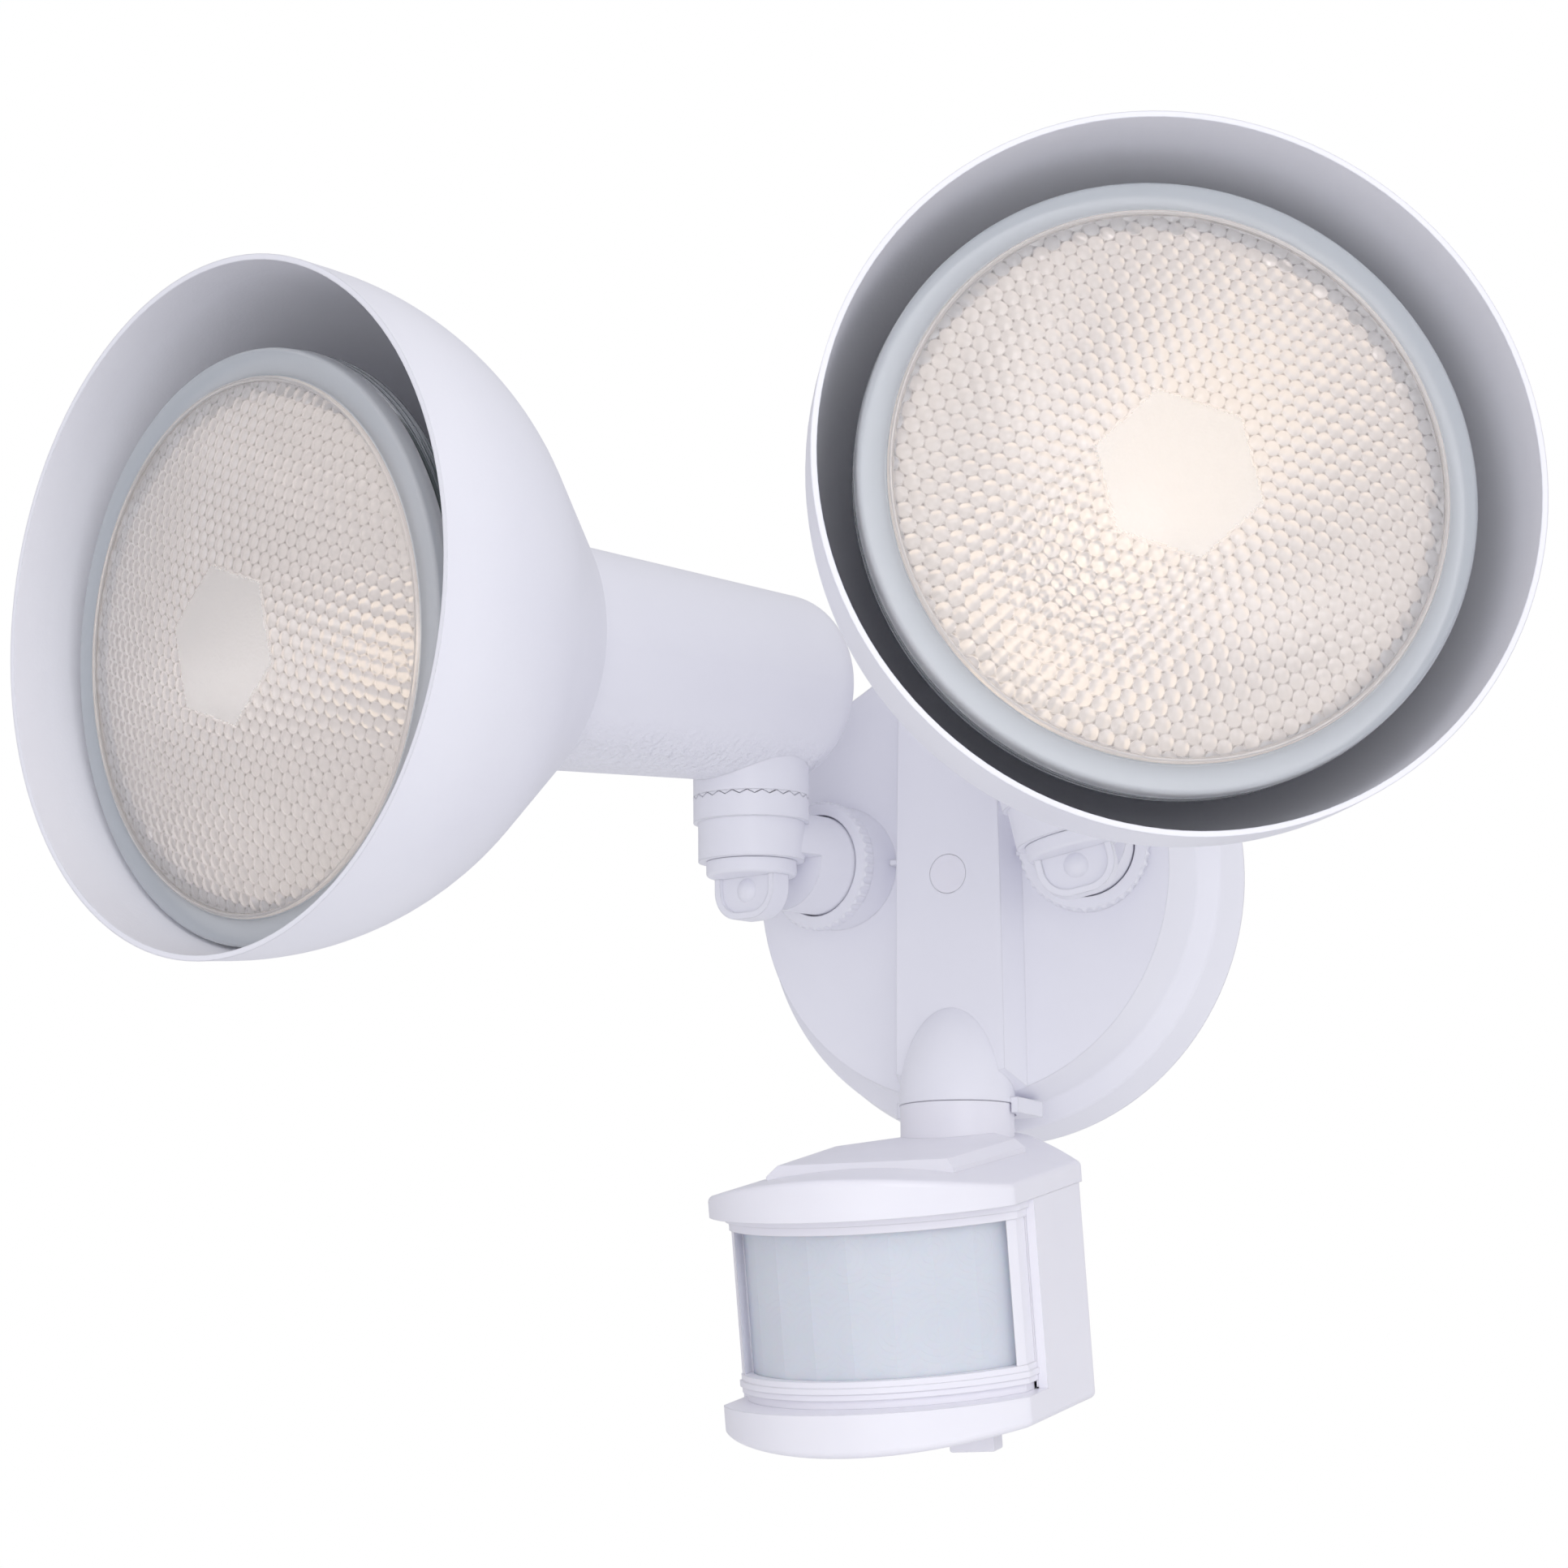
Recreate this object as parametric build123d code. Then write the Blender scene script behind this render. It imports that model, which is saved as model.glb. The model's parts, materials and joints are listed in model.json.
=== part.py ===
from build123d import *
import math
import os

# Wall-mounted security light: a round canopy carries two swivelling lamp heads
# and a motion sensor head. Millimetres, +Z up, the wall is the plane Y = 0 and
# the light stands out of it along -Y. The origin is the centre of the canopy's
# back. Each sub-assembly is modelled in a frame of its own and then placed.

os.makedirs("parts", exist_ok=True)

# ---------------------------------------------------------------- clearances
FIT = 0.05              # radial clearance of a shaft in its bore
SEAT = 0.1              # gap between two seated faces of different bodies
CLEAR = 0.4             # gap between moving pieces that pass each other
THREAD_GAP = 0.35       # radial gap where a real thread would mesh
OVERCUT = 1.0           # how far a cutting body reaches past the face it cuts
BLEND = 0.5             # how far a joined body reaches into the one it joins

# -------------------------------------------------------------------- canopy
CANOPY_R = 56.0         # edge on the wall
CANOPY_STEP_R = 54.2    # front edge of the skirt
CANOPY_STEP_H = 9.0
CANOPY_FOOT_R = 49.8    # foot of the raised disc
CANOPY_FOOT_H = 12.0
CANOPY_FACE_R = 48.2    # edge of the raised disc's face
CANOPY_FACE_H = 23.5
CANOPY_WALL = 2.2
CANOPY_EDGE_FILLET = 0.9
RIB_TOP_HALF = 13.4     # half width of the upright rib at its top
RIB_MID_HALF = 14.6
RIB_BASE_HALF = 15.2
RIB_RISE = 7.5          # the rib's face above the disc's face
RIB_DRAFT = 14.0        # degrees that its side walls lean
RIB_FACE_H = CANOPY_FACE_H + RIB_RISE
NUB_SIZE = (1.6, 1.2, 3.6)      # small lug on the rib beside each lock nut
SCREW_COLUMN_R = 6.4
SCREW_COLUMN_WALL = 0.5         # rib material left in front of the column
PLUG_R = 4.2
PLUG_DEPTH = 2.4
CANOPY_SCREW_R = 2.0
CANOPY_SCREW_HEAD_R = 3.8
CANOPY_SCREW_HEAD_H = 2.6
CANOPY_SCREW_SEAT = RIB_FACE_H - PLUG_DEPTH - CANOPY_SCREW_HEAD_H - CLEAR
SCREW_TIP = 0.2         # screws that reach the wall plane end this far before it
DRIVER_SLOT_WIDTH = 1.0
DRIVER_SLOT_DEPTH = 1.1

# boss that takes the sensor's neck
BOSS_R = 12.4
BOSS_H = 21.5
BOSS_BASE_Z = -49.6
BOSS_Y = -27.5          # axis of the neck, in front of the wall
NUT_WAY_END = 6.0       # the nut's way in ends this far in front of the wall
LEDGE_HALF = 14.2       # small skirt behind the neck, below the boss
LEDGE_Z = (-51.8, -48.4)
LEDGE_Y = (-27.5, -14.5)

# ------------------------------------------------------------ wall fixings
STRAP_LENGTH = 100.0
STRAP_WIDTH = 20.0
STRAP_T = 1.6
STRAP_SLOT_SPACING = 88.9       # for an outlet box with screws 3.5 in apart
STRAP_SLOT_R = 2.3
STRAP_SLOT_LENGTH = 7.2
STRAP_GROUND_X = 26.0
GROUND_SCREW_R = 2.0
GROUND_HEAD_R = 3.9
GROUND_HEAD_H = 2.2
GASKET_WIDTH = 2.4
GASKET_T = 3.0

# ------------------------------------------------------------- arm and knuckle
HUB_X = 23.3            # where an arm's axis meets the wall plane
HUB_Z = 4.0
HUB_SPLAY = 15.0        # degrees that each arm leans outwards
HUB_R = 13.4
HUB_DEPTH = 12.0        # how far a hub reaches in behind the disc's face
HUB_BACK = CANOPY_FACE_H - HUB_DEPTH
TUBE_R = 10.7
TUBE_BORE_R = 6.6
TUBE_END_WALL = 4.0
NUT_SEAT = 28.4         # rear face of the lock nut, along the arm
NUT_T = 3.0
NUT_R = 14.0
NUT_SCALLOPS = 40
NUT_SCALLOP_R = 0.8
NUT_SCALLOP_OFFSET = 0.35       # centre of each scallop outside the nut's edge
NUT_CHAMFER = 0.5
KNUCKLE_REACH = 52.9    # wall plane to the knuckle's axis, along the arm
KNUCKLE_LOWER_R = 11.4
KNUCKLE_UPPER_R = 12.4
KNUCKLE_BAND = 7.0      # height of the narrower lower band
KNUCKLE_DROP = 1.4      # its lower face below the arm's axis
KNUCKLE_H = 12.5        # the toothed face above the arm's axis
TUBE_FACE_GAP = 10.6    # end face of the tube behind the knuckle's axis
TOOTH_COUNT = 24
TOOTH_H = 0.8
TOOTH_INNER_R = 8.6
RETAINER_R = 13.0
RETAINER_T = 2.0

THUMB_SHANK_R = 2.5
THUMB_COLLAR_R = 9.7
THUMB_COLLAR_H = 3.2
THUMB_TAB_WIDTH = 16.7
THUMB_TAB_H = 9.2
THUMB_TAB_T = 5.0
THUMB_TAB_CORNER = 6.5
THUMB_DISH = 0.9
THUMB_DISH_RIM = 1.5
THUMB_DOME_R = 3.0
THUMB_DOME_DROP = 3.0   # middle of the dome below the collar
THUMB_COLLAR_FILLET = 0.8
THUMB_TIP = 1.0         # the shank's end outside the lampholder's bore
INSERT_R = 4.6
INSERT_H = 3.4

# ----------------------------------------------------------- lamp holder, shade
HEAD_LIFT = 37.0        # lamp axis above the arm's axis, along the knuckle
HOLDER_REAR_R = 20.0
HOLDER_REAR_FILLET = 10.0
HOLDER_FRONT_R = 24.6
HOLDER_LENGTH = 69.0    # knuckle axis to the shade's seat
STEM_END = HEAD_LIFT - KNUCKLE_H - SEAT
COLLAR_R = 25.2
COLLAR_H = 3.4
COLLAR_GROOVE = 0.6
SPIGOT_R = 23.4
SPIGOT_H = 4.2
HOLDER_BORE_R = 21.8
SOCKET_BORE_R = 17.9
SOCKET_PAD_R = 4.0      # pad that the socket stands on
SOCKET_PAD_GAP = 0.4
WIRE_ROOM = 5.9         # between the socket's back and the floor of its bore
HOLDER_FLOOR = 9.0      # the holder's back end behind that floor

SHADE_NECK_R = 32.0
SHADE_RIM_R = 71.0
SHADE_DEPTH = 74.5
SHADE_CONE = 40.4       # degrees, wall of the cone behind the bend
SHADE_RIM_DRAFT = 5.0   # degrees, wall of the skirt in front of the bend
SHADE_BEND_R = 75.0
SHADE_WALL = 1.2
SHADE_RING_R = 29.0
SHADE_RING_T = 2.4

# --------------------------------------------------------- PAR38 lamp, E26 base
LAMP_LENGTH = 134.9
LAMP_R = 60.3
LAMP_SEAM_Z = 124.6     # largest diameter, from the base contact
LAMP_BAND_H = 4.0       # glass band behind the largest diameter
LAMP_BAND_R = 58.8
LENS_LIP_R = 57.0
LENS_LIP_H = 3.2        # front lip in front of the largest diameter
LENS_FACE_R = 54.0
LENS_FACE_DROP = 0.8
LENS_T = 3.0
LENS_EDGE = 1.2         # bevel of the glass's back edge and width of its lip
LENS_RIM_WALL = 1.0     # glass outside the hollow behind the dome
REFLECTOR_T = 2.0
REFLECTOR_FLOOR = 6.0   # floor of the hollow behind the neck's end
REFLECTOR_MOUTH = 0.2   # how far the hollow's outline passes the rim
LAMP_NECK_R = 17.0
LAMP_NECK_END = 71.5
LAMP_NECK_START = 40.0
BASE_R = 12.9
BASE_RIB_R = 0.6
BASE_RIBS = 5
BASE_START = 3.0
BASE_RIB_START = 6.0
BASE_RIB_PITCH = 3.9
BASE_SKIRT = 6.0        # height of the skirt's straight part
BASE_END = 26.5
TIP_R = 4.4
TIP_BEVEL = 1.0
CAPSULE_R = 6.5
CAPSULE_FILLET = 4.5
CAPSULE_LENGTH = 34.0
CAPSULE_LEAD_R = 0.8
CAPSULE_LEAD_GAP = 4.0
CAPSULE_STANDOFF = 6.0
LAMP_SETBACK = 62.5     # base contact behind the shade's seat
CONTACT_OFFSET = HOLDER_LENGTH - LAMP_SETBACK
LEAN_PIVOT = 7.5        # a leaning lamp tilts about this point of its axis

SOCKET_R = 16.3
SOCKET_BACK = 8.6       # socket's back face behind the base contact
HOLDER_REAR = SOCKET_BACK + WIRE_ROOM + HOLDER_FLOOR - CONTACT_OFFSET   # behind the knuckle's axis
SOCKET_FRONT = 27.0
SOCKET_FLOOR_T = 5.0
SOCKET_FRONT_GAP = 2.5  # the narrow bore ends this far in front of the socket
SHELL_T = 0.5
SHELL_SETBACK = 1.0     # shell's edge behind the socket's front
SHELL_LIP = 3.0         # gap between the shell's floor and the contact leaf
LEAF_R = 3.2
SHELL_INNER_R = BASE_R + BASE_RIB_R + 2 * THREAD_GAP
SEAL_H = 4.4
SEAL_LIP = 0.9
SEAL_INSET = 1.5

# ---------------------------------------------------------------- sensor head
NECK_R = 12.2
NECK_END_Z = -62.0      # bottom of the neck inside the housing
JOURNAL_R = 6.0
JOURNAL_H = 11.0
NECK_BORE_R = 2.6
NECK_NUT_R = 6.6
NECK_NUT_H = 2.6
NECK_THREAD_R = 4.6
HEAD_ORIGIN_Z = -57.0
HEAD_PAN = 4.8          # degrees, towards +X
HEAD_PITCH = 11.0       # degrees, looking down
HEAD_WIDTH = 66.8
HEAD_SHOULDER = 18.0    # rear corners in front of the neck's axis
HEAD_CORNER = 62.0      # front corners in front of the neck's axis
HEAD_BULGE = 20.0       # the front's arc beyond its corners
HEAD_TOP = -3.9         # visor's top at its sides
VISOR_T = 4.2           # visor at its sides
VISOR_CROWN = 4.4       # how much higher its top is in the middle
HEAD_BOTTOM = -53.1     # flange's underside at its sides
FLANGE_T = 6.1
FLANGE_BELLY = 2.9      # how much lower its underside is in the middle
TONGUE_R = 14.5
PLATEAU_H = 1.2         # above the visor's crown
PLATEAU_ROOT = 5.0
PLATEAU_CHAMFER = 2.0
PLATEAU_SIDE = ((9.0, 0.0), (22.0, 20.0), (20.5, 61.0))
BODY_FRONT = 50.2       # where the rear housing meets the lens frame
HEAD_WALL = 2.0
HEAD_FILLET = 1.4
HEAD_CORNER_R = 3.0     # rounding of the case's upright corners
FRAME_INSET = 2.3
FRAME_SETBACK = 5.2     # the frame's front behind the visor's
# height and projection of each band of the frame, outwards from the case
SILL_BANDS = ((1.8, -0.6), (1.3, 0.3), (1.3, 0.7), (1.3, 0.3))
LINTEL_BANDS = ((1.7, 1.1), (1.7, 0.5))
WINDOW_POST = 1.4
WINDOW_REVEAL = 3.0     # how far the window reaches back behind the front corners
LENS_SHEET_T = 0.8
LENS_TUCK = 2.0         # how far the lens sheet reaches behind each rail

BOARD_F = 36.0
BOARD_SIZE = (50.0, 1.6, 34.0)
RAIL_GRIP = 1.6         # how far each rail's slot reaches over the board's edge
RAIL_DEPTH = 5.0
PIR_R = 4.6
PIR_H = 4.4
RELAY_SIZE = (19.0, 12.0, 15.0)
CAPACITOR_R = 5.0
CAPACITOR_H = 12.0
PHOTOCELL_R = 2.5
PHOTOCELL_H = 2.2
# where parts stand: in from the board's side edge and down from its top edge
PHOTOCELL_PLACE = (9.0, 25.0)
RELAY_PLACE = (19.0, 11.0)
CAPACITOR_GAP = 3.5     # between the relay and the capacitor beside it
SWITCH_PLACE = (-15.0, 45.0)
SWITCH_SIZE = (9.8, 5.0)
SWITCH_DROP = 4.2
SWITCH_TRAVEL = 3.0
SWITCH_SHOULDER = (3.6, 1.2)    # wider than the slot, and how thick
SWITCH_FILLET = 0.6
DIAL_PLACE = (12.0, 29.0)
DIAL_R = 5.2
DIAL_DROP = 0.6
DIAL_SLOT = (7.0, 1.2, 1.4)
DIAL_WALL = 1.5         # flange left above the dial
CONTROL_STEM_R = 1.8
CONTROL_STEM_RISE = 1.0
CONTROL_STEM_LIP = 1.0
HOUSING_SCREW_R = 1.5
HOUSING_SCREW_HEAD_R = 2.8
HOUSING_SCREW_PLACE = (24.0, 20.5)
HOUSING_SCREW_HEAD_H = 1.6
HOUSING_SCREW_COLUMN = 1.2      # wall of the column round each screw

# ------------------------------------------------------------------ the pose
# How each head stands in the photograph: degrees about the arm's axis, degrees
# about the knuckle's axis, and how far its lamp leans in the socket.
SIDES = {
    "left": dict(hand=-1, swivel=0.0, pan=-6.0, lean=3.5, lean_towards=-24.0),
    "right": dict(hand=1, swivel=-13.2, pan=21.4, lean=0.0, lean_towards=0.0),
}

BOTTOM = (Align.CENTER, Align.CENTER, Align.MIN)
TOP = (Align.CENTER, Align.CENTER, Align.MAX)
FORWARD = (Align.CENTER, Align.MIN, Align.MIN)


# ------------------------------------------------------------------- helpers
def rod(radius, low, high):
    """A cylinder about Z from one height to another."""
    return Pos(0, 0, low) * Cylinder(radius, high - low, align=BOTTOM)


def tube(outer, inner, low, high):
    """A hollow cylinder about Z."""
    return rod(outer, low, high) - rod(inner, low - OVERCUT, high + OVERCUT)


def turned(*points):
    """A closed straight-sided outline of (radius, height) points, turned about Z."""
    return revolve(Plane.XZ * make_face(Polyline(*points, close=True)), Axis.Z)


def turned_curve(*curves):
    """The same from curves that join into a closed outline."""
    return revolve(Plane.XZ * outline(*curves), Axis.Z)


def write(name, shape):
    """Write one node's STEP file."""
    export_step(shape, f"parts/{name}.step")


def outline(*curves):
    """A flat face inside curves that join into one closed loop."""
    return make_face([edge for curve in curves for edge in curve.edges()])


def closed(curve):
    """A flat face inside an open curve and the straight line between its ends."""
    return outline(curve, Line(curve @ 1, curve @ 0))


def along_y(shape):
    """Stand a piece that was turned about Z on the Y axis instead."""
    return Rot(-90, 0, 0) * shape


# -------------------------------------------------------------------- frames
UP = Vector(0, 0, 1)
CANOPY_PLANE = Plane.XZ


def arm_frame(side):
    """Origin where the arm meets the wall, Z along the arm, Y along the knuckle."""
    hand = side["hand"]
    splay = math.radians(HUB_SPLAY)
    out = Vector(hand * math.sin(splay), -math.cos(splay), 0)
    across = Vector(math.cos(splay), hand * math.sin(splay), 0)
    turn = math.radians(side["swivel"])
    knuckle = UP * math.cos(turn) + across * math.sin(turn)
    return Plane(origin=(hand * HUB_X, 0, HUB_Z), x_dir=knuckle.cross(out), z_dir=out)


def head_frame(side):
    """Origin where the knuckle's axis meets the lamp's axis, Z towards the lens."""
    arm = arm_frame(side)
    pan = math.radians(side["pan"])
    sideways = arm.z_dir.cross(arm.y_dir)
    if sideways.X < 0:
        sideways = sideways * -1
    aim = arm.z_dir * math.cos(pan) + sideways * math.sin(pan)
    centre = arm.origin + arm.z_dir * KNUCKLE_REACH + arm.y_dir * HEAD_LIFT
    return Plane(origin=centre, x_dir=arm.y_dir.cross(aim), z_dir=aim)


def lamp_location(side):
    """The lamp's frame in the head's frame: base contact at its origin."""
    pivot = Location((0, 0, CONTACT_OFFSET + LEAN_PIVOT), (0, 0, side["lean_towards"]))
    lean = Location((0, 0, 0), (side["lean"], 0, 0))
    back = Location((0, 0, 0), (0, 0, -side["lean_towards"]))
    return pivot * lean * back * Location((0, 0, -LEAN_PIVOT))


# -------------------------------------------------------------------- canopy
def skirt_radius(inset, height):
    """Radius of the canopy's skirt at a height above the wall."""
    return CANOPY_R - (CANOPY_R - CANOPY_STEP_R) * height / CANOPY_STEP_H - inset


def canopy_profile(inset, low):
    """The canopy's round body, inset by a wall thickness, from a given height."""
    return turned(
        (0, low),
        (skirt_radius(inset, low), low),
        (skirt_radius(inset, CANOPY_STEP_H - inset), CANOPY_STEP_H - inset),
        (CANOPY_FOOT_R - inset, CANOPY_FOOT_H - inset),
        (CANOPY_FACE_R - inset, CANOPY_FACE_H - inset),
        (0, CANOPY_FACE_H - inset),
    )


def rib_body(inset):
    """The upright rib: bowed sides that lean inwards, ends trimmed to the disc."""
    reach = CANOPY_FACE_R + 2
    sides = []
    for hand in (1, -1):
        sides.append(ThreePointArc(
            (hand * (RIB_BASE_HALF - inset), -reach),
            (hand * (RIB_MID_HALF - inset), 0),
            (hand * (RIB_TOP_HALF - inset), reach),
        ))
    low = Line(sides[0] @ 0, sides[1] @ 0)
    high = Line(sides[0] @ 1, sides[1] @ 1)
    foot = CANOPY_FACE_H - CANOPY_WALL - inset
    height = RIB_RISE + CANOPY_WALL
    foot_face = outline(sides[0], high, sides[1], low)
    prism = Pos(0, 0, foot) * extrude(foot_face, height, taper=RIB_DRAFT)
    trim = turned(
        (0, foot - OVERCUT),
        (CANOPY_FACE_R - inset, foot - OVERCUT),
        (CANOPY_FACE_R - inset, CANOPY_FACE_H - inset),
        (CANOPY_FACE_R - RIB_RISE / 2 - inset, foot + height),
        (0, foot + height),
    )
    return prism & trim


def neck_boss():
    """The bullet-shaped boss above the sensor's neck, about Z at its base."""
    base = Line((0, 0), (BOSS_R, 0))
    nose = EllipticalCenterArc((0, 0), BOSS_R, BOSS_H, start_angle=0, arc_size=90)
    back = Line((0, BOSS_H), (0, 0))
    return turned_curve(base, nose, back)


def canopy():
    body = canopy_profile(0, 0) + rib_body(0)
    step_edges = body.edges().filter_by_position(Axis.Z, CANOPY_STEP_H - FIT, CANOPY_FOOT_H + FIT)
    body = fillet(step_edges.filter_by(GeomType.CIRCLE), CANOPY_EDGE_FILLET)
    body -= canopy_profile(CANOPY_WALL, -OVERCUT) + rib_body(CANOPY_WALL)
    body += tube(SCREW_COLUMN_R, CANOPY_SCREW_R + CLEAR, STRAP_T + SEAT, CANOPY_FACE_H)
    body += rod(SCREW_COLUMN_R, CANOPY_FACE_H - CANOPY_WALL, RIB_FACE_H - SCREW_COLUMN_WALL)
    body -= rod(PLUG_R + FIT, CANOPY_SCREW_SEAT, RIB_FACE_H + OVERCUT)
    body -= rod(CANOPY_SCREW_R + CLEAR, 0, RIB_FACE_H)
    shell = CANOPY_PLANE.location * body

    for side in SIDES.values():
        frame = arm_frame(side)
        shell += frame.location * rod(HUB_R, HUB_BACK, NUT_SEAT - SEAT)
        shell -= frame.location * rod(TUBE_R + FIT, 0, NUT_SEAT + OVERCUT)
        nub = Box(*NUB_SIZE, align=BOTTOM)
        nub_x = side["hand"] * (RIB_MID_HALF + NUB_SIZE[0] / 2 - BLEND)
        shell += CANOPY_PLANE.location * (Pos(nub_x, HUB_Z, CANOPY_FACE_H - BLEND) * nub)

    place = Pos(0, BOSS_Y, BOSS_BASE_Z)
    shell += place * neck_boss()
    ledge = Box(2 * LEDGE_HALF, LEDGE_Y[1] - LEDGE_Y[0], LEDGE_Z[1] - LEDGE_Z[0], align=FORWARD)
    shell += Pos(0, LEDGE_Y[0], LEDGE_Z[0]) * ledge
    shell -= place * rod(NECK_R + CLEAR, LEDGE_Z[0] - BOSS_BASE_Z - OVERCUT, 0)
    pocket = JOURNAL_H + SEAT
    pocket_height = NECK_NUT_H + CLEAR
    shell -= place * rod(JOURNAL_R + FIT, -OVERCUT, pocket + FIT)
    shell -= place * rod(NECK_NUT_R + CLEAR, pocket, pocket + pocket_height)
    way = Box(2 * JOURNAL_R, -BOSS_Y - NUT_WAY_END, pocket_height, align=FORWARD)
    shell -= place * Pos(0, 0, pocket) * way
    return shell


def wall_gasket():
    wide = skirt_radius(CANOPY_WALL + SEAT, 0)
    narrow = skirt_radius(CANOPY_WALL + SEAT, GASKET_T)
    inner = narrow - GASKET_WIDTH
    ring = turned((inner, 0), (wide, 0), (narrow, GASKET_T), (inner, GASKET_T))
    return CANOPY_PLANE.location * ring


def mounting_strap():
    bar = extrude(SlotOverall(STRAP_LENGTH, STRAP_WIDTH), STRAP_T)
    for hand in (1, -1):
        slot = SlotOverall(STRAP_SLOT_LENGTH, 2 * STRAP_SLOT_R)
        place = Pos(hand * STRAP_SLOT_SPACING / 2, 0, -OVERCUT)
        bar -= place * extrude(slot, STRAP_T + 2 * OVERCUT)
    bar -= rod(CANOPY_SCREW_R + FIT, -OVERCUT, STRAP_T + OVERCUT)
    bar -= Pos(STRAP_GROUND_X, 0, 0) * rod(GROUND_SCREW_R + FIT, -OVERCUT, STRAP_T + OVERCUT)
    return CANOPY_PLANE.location * bar


def driver_slot(head_r, head_top):
    """Cutting body for the slot across a screw's head."""
    slot = Box(2 * head_r + OVERCUT, DRIVER_SLOT_WIDTH, DRIVER_SLOT_DEPTH + OVERCUT, align=TOP)
    return Pos(0, 0, head_top + OVERCUT) * slot


def canopy_screw():
    seat = CANOPY_SCREW_SEAT
    screw = rod(CANOPY_SCREW_R, SCREW_TIP, seat + BLEND)
    screw += rod(CANOPY_SCREW_HEAD_R, seat, seat + CANOPY_SCREW_HEAD_H)
    screw -= driver_slot(CANOPY_SCREW_HEAD_R, seat + CANOPY_SCREW_HEAD_H)
    return CANOPY_PLANE.location * screw


def screw_plug():
    return CANOPY_PLANE.location * rod(PLUG_R, RIB_FACE_H - PLUG_DEPTH, RIB_FACE_H)


def ground_screw():
    screw = rod(GROUND_SCREW_R, SCREW_TIP, STRAP_T + BLEND)
    screw += rod(GROUND_HEAD_R, STRAP_T, STRAP_T + GROUND_HEAD_H)
    screw -= driver_slot(GROUND_HEAD_R, STRAP_T + GROUND_HEAD_H)
    return CANOPY_PLANE.location * (Pos(STRAP_GROUND_X, 0, 0) * screw)


# ----------------------------------------------------------------- lamp's arm
def knuckle_barrel():
    """Lower half of the knuckle about Z, with its ring of teeth on top."""
    barrel = rod(KNUCKLE_LOWER_R, -KNUCKLE_DROP, KNUCKLE_BAND + BLEND)
    barrel += rod(KNUCKLE_UPPER_R, KNUCKLE_BAND, KNUCKLE_H)
    barrel -= rod(TOOTH_INNER_R, KNUCKLE_H - TOOTH_H, KNUCKLE_H + OVERCUT)
    half_pitch = math.pi * KNUCKLE_UPPER_R / TOOTH_COUNT
    notch_outline = Polyline((-half_pitch, 0), (half_pitch, 0), (0, -TOOTH_H), close=True)
    notch = extrude(Plane.XZ * make_face(notch_outline), -2 * KNUCKLE_UPPER_R)
    notch = Pos(0, TOOTH_INNER_R - OVERCUT, KNUCKLE_H) * notch
    barrel -= [Rot(0, 0, i * 360 / TOOTH_COUNT) * notch for i in range(TOOTH_COUNT)]
    return barrel


def arm():
    """Swivel tube and the lower half of the toothed knuckle, in the arm's frame."""
    tube_end = KNUCKLE_REACH - TUBE_FACE_GAP
    start = HUB_BACK - RETAINER_T - SEAT
    body = rod(TUBE_R, start, tube_end)
    above = Box(4 * TUBE_R, 2 * TUBE_R, 2 * KNUCKLE_REACH, align=FORWARD)
    body += rod(TUBE_R, start, KNUCKLE_REACH) & above
    body += Pos(0, 0, KNUCKLE_REACH) * along_y(knuckle_barrel())
    body -= rod(TUBE_BORE_R, 0, tube_end - TUBE_END_WALL)
    shank = rod(THUMB_SHANK_R + FIT, -KNUCKLE_DROP - OVERCUT, KNUCKLE_H + OVERCUT)
    body -= Pos(0, 0, KNUCKLE_REACH) * along_y(shank)
    return body


def lock_nut():
    """Scalloped ring that locks the arm, in the arm's frame."""
    ring = tube(NUT_R, TUBE_R + THREAD_GAP, NUT_SEAT, NUT_SEAT + NUT_T)
    outer_edges = ring.edges().filter_by(GeomType.CIRCLE).sort_by(SortBy.RADIUS)[-2:]
    ring = chamfer(outer_edges, NUT_CHAMFER)
    groove = Pos(NUT_R + NUT_SCALLOP_OFFSET, 0, 0) * rod(
        NUT_SCALLOP_R, NUT_SEAT - OVERCUT, NUT_SEAT + NUT_T + OVERCUT)
    ring -= [Rot(0, 0, i * 360 / NUT_SCALLOPS) * groove for i in range(NUT_SCALLOPS)]
    return ring


def arm_retainer():
    """Washer pressed on the arm's inner end, behind the canopy's hub."""
    face = HUB_BACK - SEAT
    return tube(RETAINER_R, TUBE_R, face - RETAINER_T, face)


def tab_face(half, low, corner):
    """D-shaped face of the thumb screw's tab, from above its root downwards."""
    return closed(FilletPolyline(
        (-half, BLEND), (-half, low), (half, low), (half, BLEND), radius=corner, close=False,
    ))


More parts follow.
